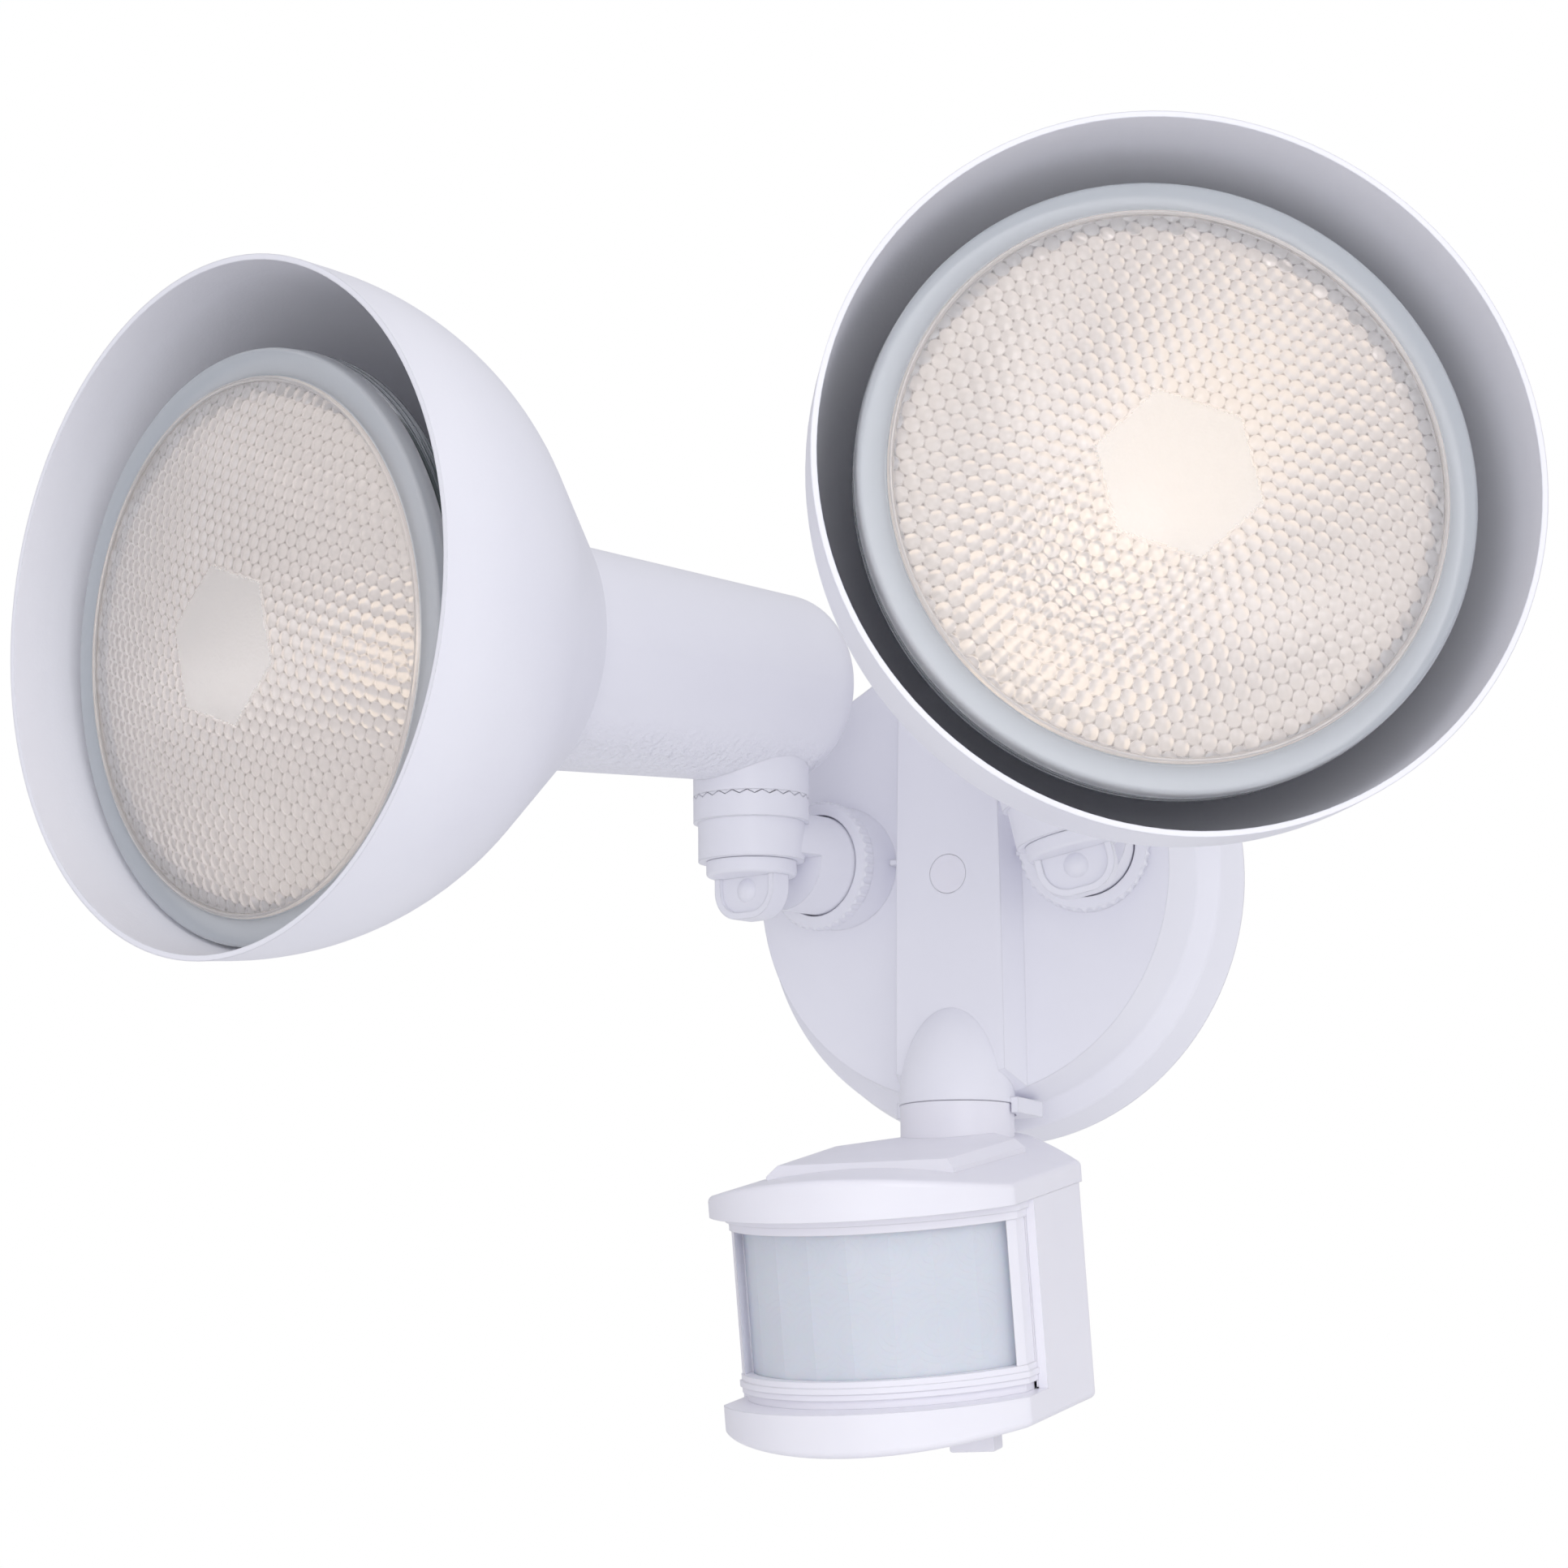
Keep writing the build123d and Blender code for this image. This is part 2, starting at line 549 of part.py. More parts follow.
def thumb_screw():
    """Clamp screw below the knuckle, turned about Y, in the arm's frame."""
    top = -KNUCKLE_DROP - SEAT
    low = top - THUMB_COLLAR_H
    collar = rod(THUMB_COLLAR_R, low, top)
    lower_edge = collar.edges().filter_by(GeomType.CIRCLE).sort_by(Axis.Z)[0]
    collar = fillet(lower_edge, THUMB_COLLAR_FILLET)
    shank = rod(THUMB_SHANK_R, low, HEAD_LIFT - SOCKET_BORE_R - THUMB_TIP)
    half = THUMB_TAB_WIDTH / 2
    tab = extrude(Plane.XZ * tab_face(half, -THUMB_TAB_H, THUMB_TAB_CORNER), THUMB_TAB_T / 2, both=True)
    rim = THUMB_DISH_RIM
    dish = extrude(Plane.XZ * tab_face(half - rim, rim - THUMB_TAB_H, THUMB_TAB_CORNER - rim), THUMB_DISH)
    dish_floor = THUMB_TAB_T / 2 - THUMB_DISH
    tab -= Pos(0, -dish_floor, 0) * dish
    tab -= Pos(0, THUMB_TAB_T / 2, 0) * dish
    dome = Pos(0, 0, -THUMB_DOME_DROP) * Sphere(THUMB_DOME_R)
    body = collar + shank + Pos(0, 0, low) * (tab + dome)
    return Pos(0, 0, KNUCKLE_REACH) * along_y(body)


# ---------------------------------------------------------------- lamp's head
def holder_radius(z):
    """Outer radius of the holder's slightly conical body."""
    share = (z + HOLDER_REAR) / (HOLDER_LENGTH + HOLDER_REAR)
    return HOLDER_REAR_R + (HOLDER_FRONT_R - HOLDER_REAR_R) * share


def lampholder():
    """Holder body with its stem and the upper knuckle face, in the head's frame."""
    collar_low = HOLDER_LENGTH - COLLAR_H
    body = turned(
        (0, -HOLDER_REAR),
        (HOLDER_REAR_R, -HOLDER_REAR),
        (holder_radius(collar_low - COLLAR_GROOVE), collar_low - COLLAR_GROOVE),
        (HOLDER_FRONT_R - COLLAR_GROOVE, collar_low - COLLAR_GROOVE),
        (HOLDER_FRONT_R - COLLAR_GROOVE, collar_low),
        (COLLAR_R, collar_low),
        (COLLAR_R, HOLDER_LENGTH),
        (0, HOLDER_LENGTH),
    )
    rear_edge = body.edges().filter_by(GeomType.CIRCLE).sort_by(Axis.Z)[0]
    body = fillet(rear_edge, HOLDER_REAR_FILLET)
    mouth = HOLDER_LENGTH + SPIGOT_H
    body += rod(SPIGOT_R, HOLDER_LENGTH - BLEND, mouth)
    body += Rot(90, 0, 0) * rod(KNUCKLE_UPPER_R, 0, STEM_END)
    socket_back = CONTACT_OFFSET - SOCKET_BACK
    socket_end = CONTACT_OFFSET + SOCKET_FRONT + SOCKET_FRONT_GAP
    body -= rod(HOLDER_BORE_R, socket_end, mouth + OVERCUT)
    body -= rod(SOCKET_BORE_R, socket_back - WIRE_ROOM, socket_end + BLEND)
    body += rod(SOCKET_PAD_R, socket_back - WIRE_ROOM - BLEND, socket_back - SOCKET_PAD_GAP)
    body -= Rot(90, 0, 0) * rod(INSERT_R, STEM_END - INSERT_H, STEM_END + OVERCUT)
    body -= Rot(90, 0, 0) * rod(THUMB_SHANK_R + CLEAR, SOCKET_BORE_R - OVERCUT, STEM_END)
    return body


def clamp_insert():
    """Metal insert in the stem that the thumb screw bites on."""
    ring = tube(INSERT_R, THUMB_SHANK_R + THREAD_GAP, STEM_END - INSERT_H, STEM_END)
    return Rot(90, 0, 0) * ring


def socket():
    """Ceramic lamp socket, in the lamp's frame."""
    body = rod(SOCKET_R, -SOCKET_BACK, SOCKET_FRONT)
    body -= rod(SHELL_INNER_R + SHELL_T, SOCKET_FLOOR_T - SOCKET_BACK, SOCKET_FRONT + OVERCUT)
    return body


def screw_shell():
    """Thin metal shell that lines the socket."""
    outer = SHELL_INNER_R + SHELL_T
    low = SOCKET_FLOOR_T - SOCKET_BACK
    wall = tube(outer, SHELL_INNER_R, low, SOCKET_FRONT - SHELL_SETBACK)
    return wall + tube(outer, LEAF_R + SHELL_LIP, low, low + SHELL_T)


def centre_contact():
    """Springy contact leaf on the socket's floor."""
    return rod(LEAF_R, SOCKET_FLOOR_T - SOCKET_BACK, -SEAT)


def mouth_seal():
    """Soft ring in the holder's mouth, in the head's frame."""
    top = HOLDER_LENGTH + SPIGOT_H - SEAL_INSET
    return tube(HOLDER_BORE_R, HOLDER_BORE_R - SEAL_LIP, top - SEAL_H, top)


def bell(inset, low):
    """The shade's outline turned about Z and inset by a wall, from a given height."""
    cone = math.radians(SHADE_CONE)
    draft = math.radians(SHADE_RIM_DRAFT)
    neck = SHADE_NECK_R - inset / math.cos(cone)
    rim = SHADE_RIM_R - inset / math.cos(draft)
    bend_z = (rim - SHADE_DEPTH * math.tan(draft) - neck) / (math.tan(cone) - math.tan(draft))
    bend_r = neck + bend_z * math.tan(cone)
    start = (neck + low * math.tan(cone), low)
    wall = FilletPolyline(start, (bend_r, bend_z), (rim, SHADE_DEPTH), radius=SHADE_BEND_R - inset)
    mouth = Line((rim, SHADE_DEPTH), (0, SHADE_DEPTH))
    middle = Line((0, SHADE_DEPTH), (0, low))
    return turned_curve(wall, mouth, middle, Line((0, low), start))


def shade():
    """Spun bell over the lamp, in the head's frame."""
    shell = bell(0, 0) - bell(SHADE_WALL, SHADE_WALL)
    shell -= rod(SPIGOT_R + SEAT, -OVERCUT, SHADE_WALL + OVERCUT)
    return Pos(0, 0, HOLDER_LENGTH) * shell


def shade_ring():
    """Ring on the spigot that holds the shade, in the head's frame."""
    low = HOLDER_LENGTH + SHADE_WALL
    return tube(SHADE_RING_R, SPIGOT_R, low, low + SHADE_RING_T)


# ----------------------------------------------------------------------- lamp
def lamp_lens():
    """Moulded front glass with its raised rim, in the lamp's frame."""
    seam = LAMP_SEAM_Z
    back = seam - LENS_T
    lip = seam + LENS_LIP_H
    face = lip - LENS_FACE_DROP
    crown = LAMP_LENGTH
    rim = Polyline(
        (0, back), (LAMP_R - LENS_EDGE, back), (LAMP_R, back + LENS_EDGE), (LAMP_R, seam),
        (LENS_LIP_R, lip), (LENS_LIP_R - LENS_EDGE, lip), (LENS_FACE_R, face),
    )
    dome = ThreePointArc((LENS_FACE_R, face), dome_middle(LENS_FACE_R, face, crown), (0, crown))
    body = turned_curve(rim, dome, Line((0, crown), (0, back)))
    inner_r = LENS_FACE_R - LENS_RIM_WALL
    inner_face = face - LENS_T
    inner_crown = crown - LENS_T
    start = back - OVERCUT
    wall = Polyline((0, start), (inner_r, start), (inner_r, inner_face))
    middle = dome_middle(inner_r, inner_face, inner_crown)
    under = ThreePointArc((inner_r, inner_face), middle, (0, inner_crown))
    return body - turned_curve(wall, under, Line((0, inner_crown), (0, start)))


def dome_middle(edge_r, edge_z, crown_z):
    """A point half way along the shallow dome between its edge and its crown."""
    rise = crown_z - edge_z
    radius = (edge_r ** 2 + rise ** 2) / (2 * rise)
    half = edge_r / 2
    return (half, crown_z - radius + math.sqrt(radius ** 2 - half ** 2))


def paraboloid(neck_r, neck_z, rim_r, rim_z):
    """The parabola about Z through the edges of the neck and of the rim."""
    focal = (rim_r ** 2 - neck_r ** 2) / (rim_z - neck_z)
    control = ((neck_r + rim_r) / 2, neck_z + (rim_r - neck_r) * neck_r / focal)
    return Bezier((neck_r, neck_z), control, (rim_r, rim_z))


def lamp_reflector():
    """Silvered glass body with its band at the seam, in the lamp's frame."""
    rim_z = LAMP_SEAM_Z - LENS_T
    band_z = rim_z - LAMP_BAND_H
    wall = paraboloid(LAMP_NECK_R, LAMP_NECK_END, LENS_LIP_R, band_z)
    band = Polyline(
        wall @ 1, (LAMP_BAND_R, band_z), (LAMP_BAND_R, rim_z), (0, rim_z),
        (0, LAMP_NECK_START), (LAMP_NECK_R, LAMP_NECK_START), wall @ 0,
    )
    inner_neck = LAMP_NECK_R - REFLECTOR_T
    mouth = rim_z + REFLECTOR_MOUTH
    bowl = paraboloid(inner_neck, LAMP_NECK_END + REFLECTOR_T / 2, LENS_FACE_R - LENS_RIM_WALL, mouth)
    floor_z = LAMP_NECK_END - REFLECTOR_FLOOR
    shaft = Polyline(bowl @ 1, (0, mouth), (0, floor_z), (inner_neck, floor_z), bowl @ 0)
    return turned_curve(wall, band) - turned_curve(bowl, shaft)


def lamp_base():
    """Screw base with its skirt, in the lamp's frame."""
    body = rod(BASE_R, BASE_START, BASE_END)
    for i in range(BASE_RIBS):
        body += Pos(0, 0, BASE_RIB_START + i * BASE_RIB_PITCH) * Torus(BASE_R, BASE_RIB_R)
    body += turned(
        (0, BASE_END), (BASE_R, BASE_END), (LAMP_NECK_R, LAMP_NECK_START - BASE_SKIRT),
        (LAMP_NECK_R, LAMP_NECK_START), (0, LAMP_NECK_START),
    )
    return body


def lamp_tip():
    """Insulator and contact button below the base, in the lamp's frame."""
    return turned(
        (0, 0), (TIP_R, 0), (TIP_R + TIP_BEVEL, TIP_BEVEL),
        (BASE_R - TIP_BEVEL, BASE_START), (0, BASE_START),
    )


def lamp_capsule():
    """Burner capsule on its two support leads, in the lamp's frame."""
    floor_z = LAMP_NECK_END - REFLECTOR_FLOOR
    low = floor_z + CAPSULE_STANDOFF
    body = rod(CAPSULE_R, low, low + CAPSULE_LENGTH)
    front_edge = body.edges().filter_by(GeomType.CIRCLE).sort_by(Axis.Z)[-1]
    body = fillet(front_edge, CAPSULE_FILLET)
    for hand in (1, -1):
        body += Pos(hand * CAPSULE_LEAD_GAP, 0, 0) * rod(CAPSULE_LEAD_R, floor_z, low + BLEND)
    return body


# --------------------------------------------------------------- sensor head
def sensor_frame():
    """Origin on the neck's axis, X across the head, Y forwards, Z up its face."""
    pan = math.radians(HEAD_PAN)
    pitch = math.radians(HEAD_PITCH)
    across = Vector(math.cos(pan), math.sin(pan), 0)
    ahead = Vector(math.sin(pan) * math.cos(pitch), -math.cos(pan) * math.cos(pitch), -math.sin(pitch))
    return Plane(origin=(0, BOSS_Y, HEAD_ORIGIN_Z), x_dir=across * -1, z_dir=ahead.cross(across))


def head_plan(inset, rear, setback=0.0, tongue=False):
    """Plan outline of the head: flat sides, bulging front, optional rear tongue."""
    half = HEAD_WIDTH / 2 - inset
    corner = HEAD_CORNER - inset / 2 - setback
    crest = HEAD_CORNER + HEAD_BULGE - inset - setback
    front = ThreePointArc((half, corner), (0, crest), (-half, corner))
    if not tongue:
        face = outline(front, Polyline((-half, corner), (-half, rear), (half, rear), (half, corner)))
        return fillet(face.vertices(), max(HEAD_CORNER_R - inset, BLEND))
    root = TONGUE_R / 2
    left = Polyline((-half, corner), (-half, rear), (-TONGUE_R, -root))
    back = ThreePointArc((-TONGUE_R, -root), (0, -TONGUE_R), (TONGUE_R, -root))
    right = Polyline((TONGUE_R, -root), (half, rear), (half, corner))
    return fillet(outline(front, left, back, right).vertices(), HEAD_CORNER_R)


def slab(face, low, high):
    """A flat face drawn at height zero, raised to fill a range of heights."""
    return Pos(0, 0, low) * extrude(face, high - low)


def bowed_slab(face, flat, edge, rise):
    """A slab that is flat on one side; the other bows by a rise across the head."""
    half = HEAD_WIDTH / 2
    radius = (half ** 2 + rise ** 2) / (2 * abs(rise))
    crown = edge + rise
    centre = crown - math.copysign(radius, rise)
    barrel = Pos(0, 0, centre) * along_y(Cylinder(radius, 4 * HEAD_WIDTH))
    return slab(face, min(flat, crown), max(flat, crown)) & barrel


def upper_housing():
    """Visor with its raised plateau, in the sensor's frame."""
    under = HEAD_TOP - VISOR_T
    visor = bowed_slab(head_plan(0, HEAD_SHOULDER, tongue=True), under, HEAD_TOP, VISOR_CROWN)
    visor = fillet(visor.faces().sort_by(Axis.Z)[-1].edges(), HEAD_FILLET)
    mirrored = [(-x, y) for x, y in reversed(PLATEAU_SIDE)]
    hexagon = make_face(Polyline(*PLATEAU_SIDE, *mirrored, close=True))
    plateau_top = HEAD_TOP + VISOR_CROWN + PLATEAU_H
    plateau = slab(hexagon, plateau_top - PLATEAU_ROOT, plateau_top)
    plateau = chamfer(plateau.faces().sort_by(Axis.Z)[-1].edges(), PLATEAU_CHAMFER)
    body = visor + plateau
    x, y = HOUSING_SCREW_PLACE
    for hand in (1, -1):
        well = rod(HOUSING_SCREW_R + FIT, under - OVERCUT, HEAD_TOP)
        body -= Pos(hand * x, y, 0) * well
    return body


def sensor_neck():
    """Neck and its journal in world axes, joined to the upper housing."""
    top = BOSS_BASE_Z - SEAT
    neck = rod(NECK_R, NECK_END_Z, top)
    neck += rod(JOURNAL_R, top - BLEND, BOSS_BASE_Z + JOURNAL_H)
    neck += rod(NECK_THREAD_R, top, BOSS_BASE_Z + JOURNAL_H + NECK_NUT_H)
    return Pos(0, BOSS_Y, 0) * neck


def neck_bore():
    """Wire way down the neck."""
    high = BOSS_BASE_Z + JOURNAL_H + NECK_NUT_H + OVERCUT
    return Pos(0, BOSS_Y, 0) * rod(NECK_BORE_R, NECK_END_Z - HEAD_WALL - VISOR_T, high)


def neck_nut():
    """Nut that holds the neck's journal in the boss."""
    low = BOSS_BASE_Z + JOURNAL_H + SEAT
    return Pos(0, BOSS_Y, 0) * tube(NECK_NUT_R, NECK_THREAD_R, low, low + NECK_NUT_H - SEAT)


def flange():
    """Bottom of the sensor's case, with the ways for its switch and its dial."""
    low = HEAD_BOTTOM
    high = low + FLANGE_T
    body = bowed_slab(head_plan(0, HEAD_SHOULDER), high, low, -FLANGE_BELLY)
    body = fillet(body.faces().sort_by(Axis.Z)[0].edges(), HEAD_FILLET)
    under = low - FLANGE_BELLY - OVERCUT
    x, y = SWITCH_PLACE
    slot_x = SWITCH_SIZE[0] + 2 * SWITCH_TRAVEL + 2 * CLEAR
    slot_y = SWITCH_SIZE[1] + 2 * CLEAR
    body -= Pos(x, y, under) * Box(slot_x, slot_y, high - under + OVERCUT, align=BOTTOM)
    x, y = DIAL_PLACE
    body -= Pos(x, y, 0) * rod(DIAL_R + CLEAR, under, high - DIAL_WALL)
    body -= Pos(x, y, 0) * rod(CONTROL_STEM_R + FIT, under, high + OVERCUT)
    return body


def board_rails(low, high):
    """Two upright rails that reach from the case's sides over the board's edges."""
    rail_width = HEAD_WIDTH / 2 - HEAD_WALL / 2 - BOARD_SIZE[0] / 2 + RAIL_GRIP
    rail_x = BOARD_SIZE[0] / 2 - RAIL_GRIP + rail_width / 2
    rail = Box(rail_width, RAIL_DEPTH, high - low, align=BOTTOM)
    rails = Pos(rail_x, BOARD_F, low) * rail + Pos(-rail_x, BOARD_F, low) * rail
    room = Box(BOARD_SIZE[0] + 2 * CLEAR, BOARD_SIZE[1] + 2 * FIT, high - low, align=BOTTOM)
    return rails - Pos(0, BOARD_F, low) * room


def rear_housing():
    """Back, sides and bottom flange of the sensor's case, in the sensor's frame."""
    high = HEAD_TOP - VISOR_T
    low = HEAD_BOTTOM + FLANGE_T
    shell = slab(head_plan(0, HEAD_SHOULDER), low, high)
    depth = BODY_FRONT - HEAD_SHOULDER
    shell &= Pos(0, HEAD_SHOULDER, low) * Box(2 * HEAD_WIDTH, depth, high - low, align=FORWARD)
    shell -= slab(head_plan(HEAD_WALL, HEAD_SHOULDER + HEAD_WALL), low, high + OVERCUT)
    body = shell + flange() + board_rails(low, high)
    x, y = HOUSING_SCREW_PLACE
    for hand in (1, -1):
        column = rod(HOUSING_SCREW_HEAD_R + HOUSING_SCREW_COLUMN, low - BLEND, high)
        bore = rod(HOUSING_SCREW_R + CLEAR, HEAD_BOTTOM - FLANGE_BELLY, high + OVERCUT)
        recess = rod(HOUSING_SCREW_HEAD_R + CLEAR, HEAD_BOTTOM - FLANGE_BELLY, low - FLANGE_T / 2)
        body += Pos(hand * x, y, 0) * column
        body -= Pos(hand * x, y, 0) * (bore + recess)
    return body


def window_heights():
    """Lower and upper edge of the window, inside the frame's two rails."""
    low = HEAD_BOTTOM + FLANGE_T + sum(height for height, _ in SILL_BANDS)
    high = HEAD_TOP - VISOR_T - sum(height for height, _ in LINTEL_BANDS)
    return low, high


def frame_plan(inset):
    """Plan of the lens frame; it starts inside the rear housing and is cut off later."""
    return head_plan(inset, BODY_FRONT - HEAD_CORNER_R, FRAME_SETBACK)


def lens_frame():
    """Curved front frame with stepped rails, in the sensor's frame."""
    sill, lintel = window_heights()
    body = slab(frame_plan(FRAME_INSET), sill, lintel)
    low = HEAD_BOTTOM + FLANGE_T
    for height, project in SILL_BANDS:
        body += slab(frame_plan(FRAME_INSET - project), low, low + height)
        low += height
    high = HEAD_TOP - VISOR_T
    for height, project in LINTEL_BANDS:
        body += slab(frame_plan(FRAME_INSET - project), high - height, high)
        high -= height
    body -= slab(frame_plan(FRAME_INSET + HEAD_WALL), HEAD_BOTTOM, HEAD_TOP)
    length = HEAD_CORNER + HEAD_BULGE
    ahead = Box(2 * HEAD_WIDTH, length, HEAD_TOP - HEAD_BOTTOM, align=FORWARD)
    body &= Pos(0, BODY_FRONT, HEAD_BOTTOM) * ahead
    half = HEAD_WIDTH / 2 - FRAME_INSET - WINDOW_POST
    window = Box(2 * half, length, lintel - sill, align=FORWARD)
    start = HEAD_CORNER - FRAME_SETBACK - WINDOW_REVEAL
    return body - Pos(0, start, sill) * window


def fresnel_lens():
    """Curved lens sheet behind the window, in the sensor's frame."""
    sill, lintel = window_heights()
    low = sill - LENS_TUCK
    high = lintel + LENS_TUCK
    inset = FRAME_INSET + HEAD_WALL + SEAT / 2
    sheet = slab(head_plan(inset, BODY_FRONT, FRAME_SETBACK), low, high)
    inner = head_plan(inset + LENS_SHEET_T, BODY_FRONT - OVERCUT, FRAME_SETBACK)
    sheet -= slab(inner, low - OVERCUT, high + OVERCUT)
    start = BODY_FRONT + HEAD_WALL
    ahead = Box(2 * HEAD_WIDTH, HEAD_CORNER + HEAD_BULGE - start, high - low, align=FORWARD)
    return sheet & Pos(0, start, low) * ahead


def board_middle():
    """Height of the board's middle, half way up the case."""
    return (HEAD_TOP - VISOR_T + HEAD_BOTTOM + FLANGE_T) / 2


def circuit_board():
    return Pos(0, BOARD_F, board_middle()) * Box(*BOARD_SIZE)


def board_place(place, side, depth):
    """A point on the board: in from one side edge, down from the top edge."""
    inwards, down = place
    x = side * (BOARD_SIZE[0] / 2 - inwards)
    return Pos(x, depth, board_middle() + BOARD_SIZE[2] / 2 - down)


def board_parts():
    """What stands on the board: name to solid, in the sensor's frame."""
    front = BOARD_F + BOARD_SIZE[1] / 2
    back = BOARD_F - BOARD_SIZE[1] / 2
    pir = Pos(0, front, board_middle()) * along_y(rod(PIR_R, 0, PIR_H))
    photocell = board_place(PHOTOCELL_PLACE, -1, front) * along_y(rod(PHOTOCELL_R, 0, PHOTOCELL_H))
    relay = board_place(RELAY_PLACE, -1, back - RELAY_SIZE[1] / 2) * Box(*RELAY_SIZE)
    across = RELAY_PLACE[0] + RELAY_SIZE[0] / 2 + CAPACITOR_GAP + CAPACITOR_R
    beside_relay = board_place((across, RELAY_PLACE[1]), -1, back)
    capacitor = beside_relay * along_y(rod(CAPACITOR_R, -CAPACITOR_H, 0))
    return {"pir_element": pir, "photocell": photocell, "relay": relay, "capacitor": capacitor}


def time_switch():
    """Slide switch below the sensor: its cap and the stem into the case."""
    x, y = SWITCH_PLACE
    low = HEAD_BOTTOM - FLANGE_BELLY - SWITCH_DROP
    inside = HEAD_BOTTOM + FLANGE_T + SEAT
    cap = Box(*SWITCH_SIZE, inside - low, align=BOTTOM)
    cap = fillet(cap.faces().sort_by(Axis.Z)[0].edges(), SWITCH_FILLET)
    wider, thick = SWITCH_SHOULDER
    shoulder = Box(SWITCH_SIZE[0], SWITCH_SIZE[1] + wider, thick, align=BOTTOM)
    return Pos(x, y, 0) * (Pos(0, 0, low) * cap + Pos(0, 0, inside) * shoulder)


def range_dial():
    """Slotted dial below the sensor that sets its range."""
    x, y = DIAL_PLACE
    low = HEAD_BOTTOM - FLANGE_BELLY - DIAL_DROP
    inside = HEAD_BOTTOM + FLANGE_T
    dial = rod(DIAL_R, low, inside - DIAL_WALL - SEAT)
    dial -= Pos(0, 0, low) * Box(*DIAL_SLOT)
    dial += rod(CONTROL_STEM_R, low + DIAL_SLOT[2], inside + CONTROL_STEM_RISE)
    dial += rod(CONTROL_STEM_R + CONTROL_STEM_LIP, inside + SEAT, inside + CONTROL_STEM_RISE)
    return Pos(x, y, 0) * dial


def housing_screws():
    low = HEAD_BOTTOM + FLANGE_T / 2 - HOUSING_SCREW_HEAD_H
    screw = rod(HOUSING_SCREW_HEAD_R, low, low + HOUSING_SCREW_HEAD_H)
    screw += rod(HOUSING_SCREW_R, low, HEAD_TOP - SEAT)
    x, y = HOUSING_SCREW_PLACE
    return Compound([Pos(x, y, 0) * screw, Pos(-x, y, 0) * screw])


# -------------------------------------------------------------------- writing
def write_canopy_group():
    write("canopy", canopy())
    write("wall_gasket", wall_gasket())
    write("mounting_strap", mounting_strap())
    write("canopy_screw", canopy_screw())
    write("screw_plug", screw_plug())
    write("ground_screw", ground_screw())


def write_lamp_heads():
    in_arm = {
        "arm": arm(),
        "lock_nut": lock_nut(),
        "arm_retainer": arm_retainer(),
        "thumb_screw": thumb_screw(),
    }
    in_head = {
        "lampholder": lampholder(),
        "clamp_insert": clamp_insert(),
        "mouth_seal": mouth_seal(),
        "shade": shade(),
        "shade_ring": shade_ring(),
    }
    in_lamp = {
        "socket": socket(),
        "screw_shell": screw_shell(),
        "centre_contact": centre_contact(),
        "lamp_lens": lamp_lens(),
        "lamp_reflector": lamp_reflector(),
        "lamp_base": lamp_base(),
        "lamp_tip": lamp_tip(),
        "lamp_capsule": lamp_capsule(),
    }
    for name, side in SIDES.items():
        arm_place = arm_frame(side).location
        head_place = head_frame(side).location
        lamp_place = head_place * lamp_location(side)
        for place, group in ((arm_place, in_arm), (head_place, in_head), (lamp_place, in_lamp)):
            for piece, shape in group.items():
                write(f"{name}_{piece}", place * shape)


def write_sensor():
    place = sensor_frame().location
    write("sensor_upper_housing", place * upper_housing() + sensor_neck() - neck_bore())
    write("neck_nut", neck_nut())
    write("sensor_rear_housing", place * rear_housing())
    write("sensor_lens_frame", place * lens_frame())
    write("fresnel_lens", place * fresnel_lens())
    write("circuit_board", place * circuit_board())
    for name, shape in board_parts().items():
        write(name, place * shape)
    write("time_switch", place * time_switch())
    write("range_dial", place * range_dial())
    write("housing_screws", place * housing_screws())


write_canopy_group()
write_lamp_heads()
write_sensor()
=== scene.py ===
"""Looks of a wall-mounted security light with a motion sensor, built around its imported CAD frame.

The wall is the plane Y = 0, the light stands out of it along -Y and +Z is up. Sizes are given in
millimetres and turned into metres where a mesh or a pattern is made.
"""

from __future__ import annotations

import json
import logging
import math
from dataclasses import dataclass, field
from enum import Enum
from typing import Any, Iterable, Mapping, Protocol, Sequence

import bpy
import numpy as np
from mathutils import Matrix, Vector

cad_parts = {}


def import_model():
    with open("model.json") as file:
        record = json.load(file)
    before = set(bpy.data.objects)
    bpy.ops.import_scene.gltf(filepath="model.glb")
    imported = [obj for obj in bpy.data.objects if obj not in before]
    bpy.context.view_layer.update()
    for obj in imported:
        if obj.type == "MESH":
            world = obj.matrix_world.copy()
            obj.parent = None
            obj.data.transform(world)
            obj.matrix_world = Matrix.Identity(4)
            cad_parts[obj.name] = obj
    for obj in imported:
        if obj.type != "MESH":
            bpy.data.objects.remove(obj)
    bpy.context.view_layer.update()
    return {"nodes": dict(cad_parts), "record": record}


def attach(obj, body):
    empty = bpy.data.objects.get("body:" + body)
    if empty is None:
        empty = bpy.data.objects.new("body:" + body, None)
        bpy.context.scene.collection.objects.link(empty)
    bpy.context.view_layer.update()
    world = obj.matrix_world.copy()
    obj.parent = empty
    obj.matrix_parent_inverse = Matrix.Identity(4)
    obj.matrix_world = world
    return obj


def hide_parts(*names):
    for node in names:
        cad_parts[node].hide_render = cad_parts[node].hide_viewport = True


LOG = logging.getLogger("security_light")
MM = 0.001
WAVES_PER_UNIT = 20.0 / math.tau     # a wave texture of scale 1 has this many waves in one unit
# The relief also sets where the lens glass paints shade into the pillows' seams.
RELIEF = "pillow_relief"              # on the lens: 0 on the seams of its pillows, 1 in their middles

Colour = tuple[float, float, float, float]
Point = tuple[float, float, float]


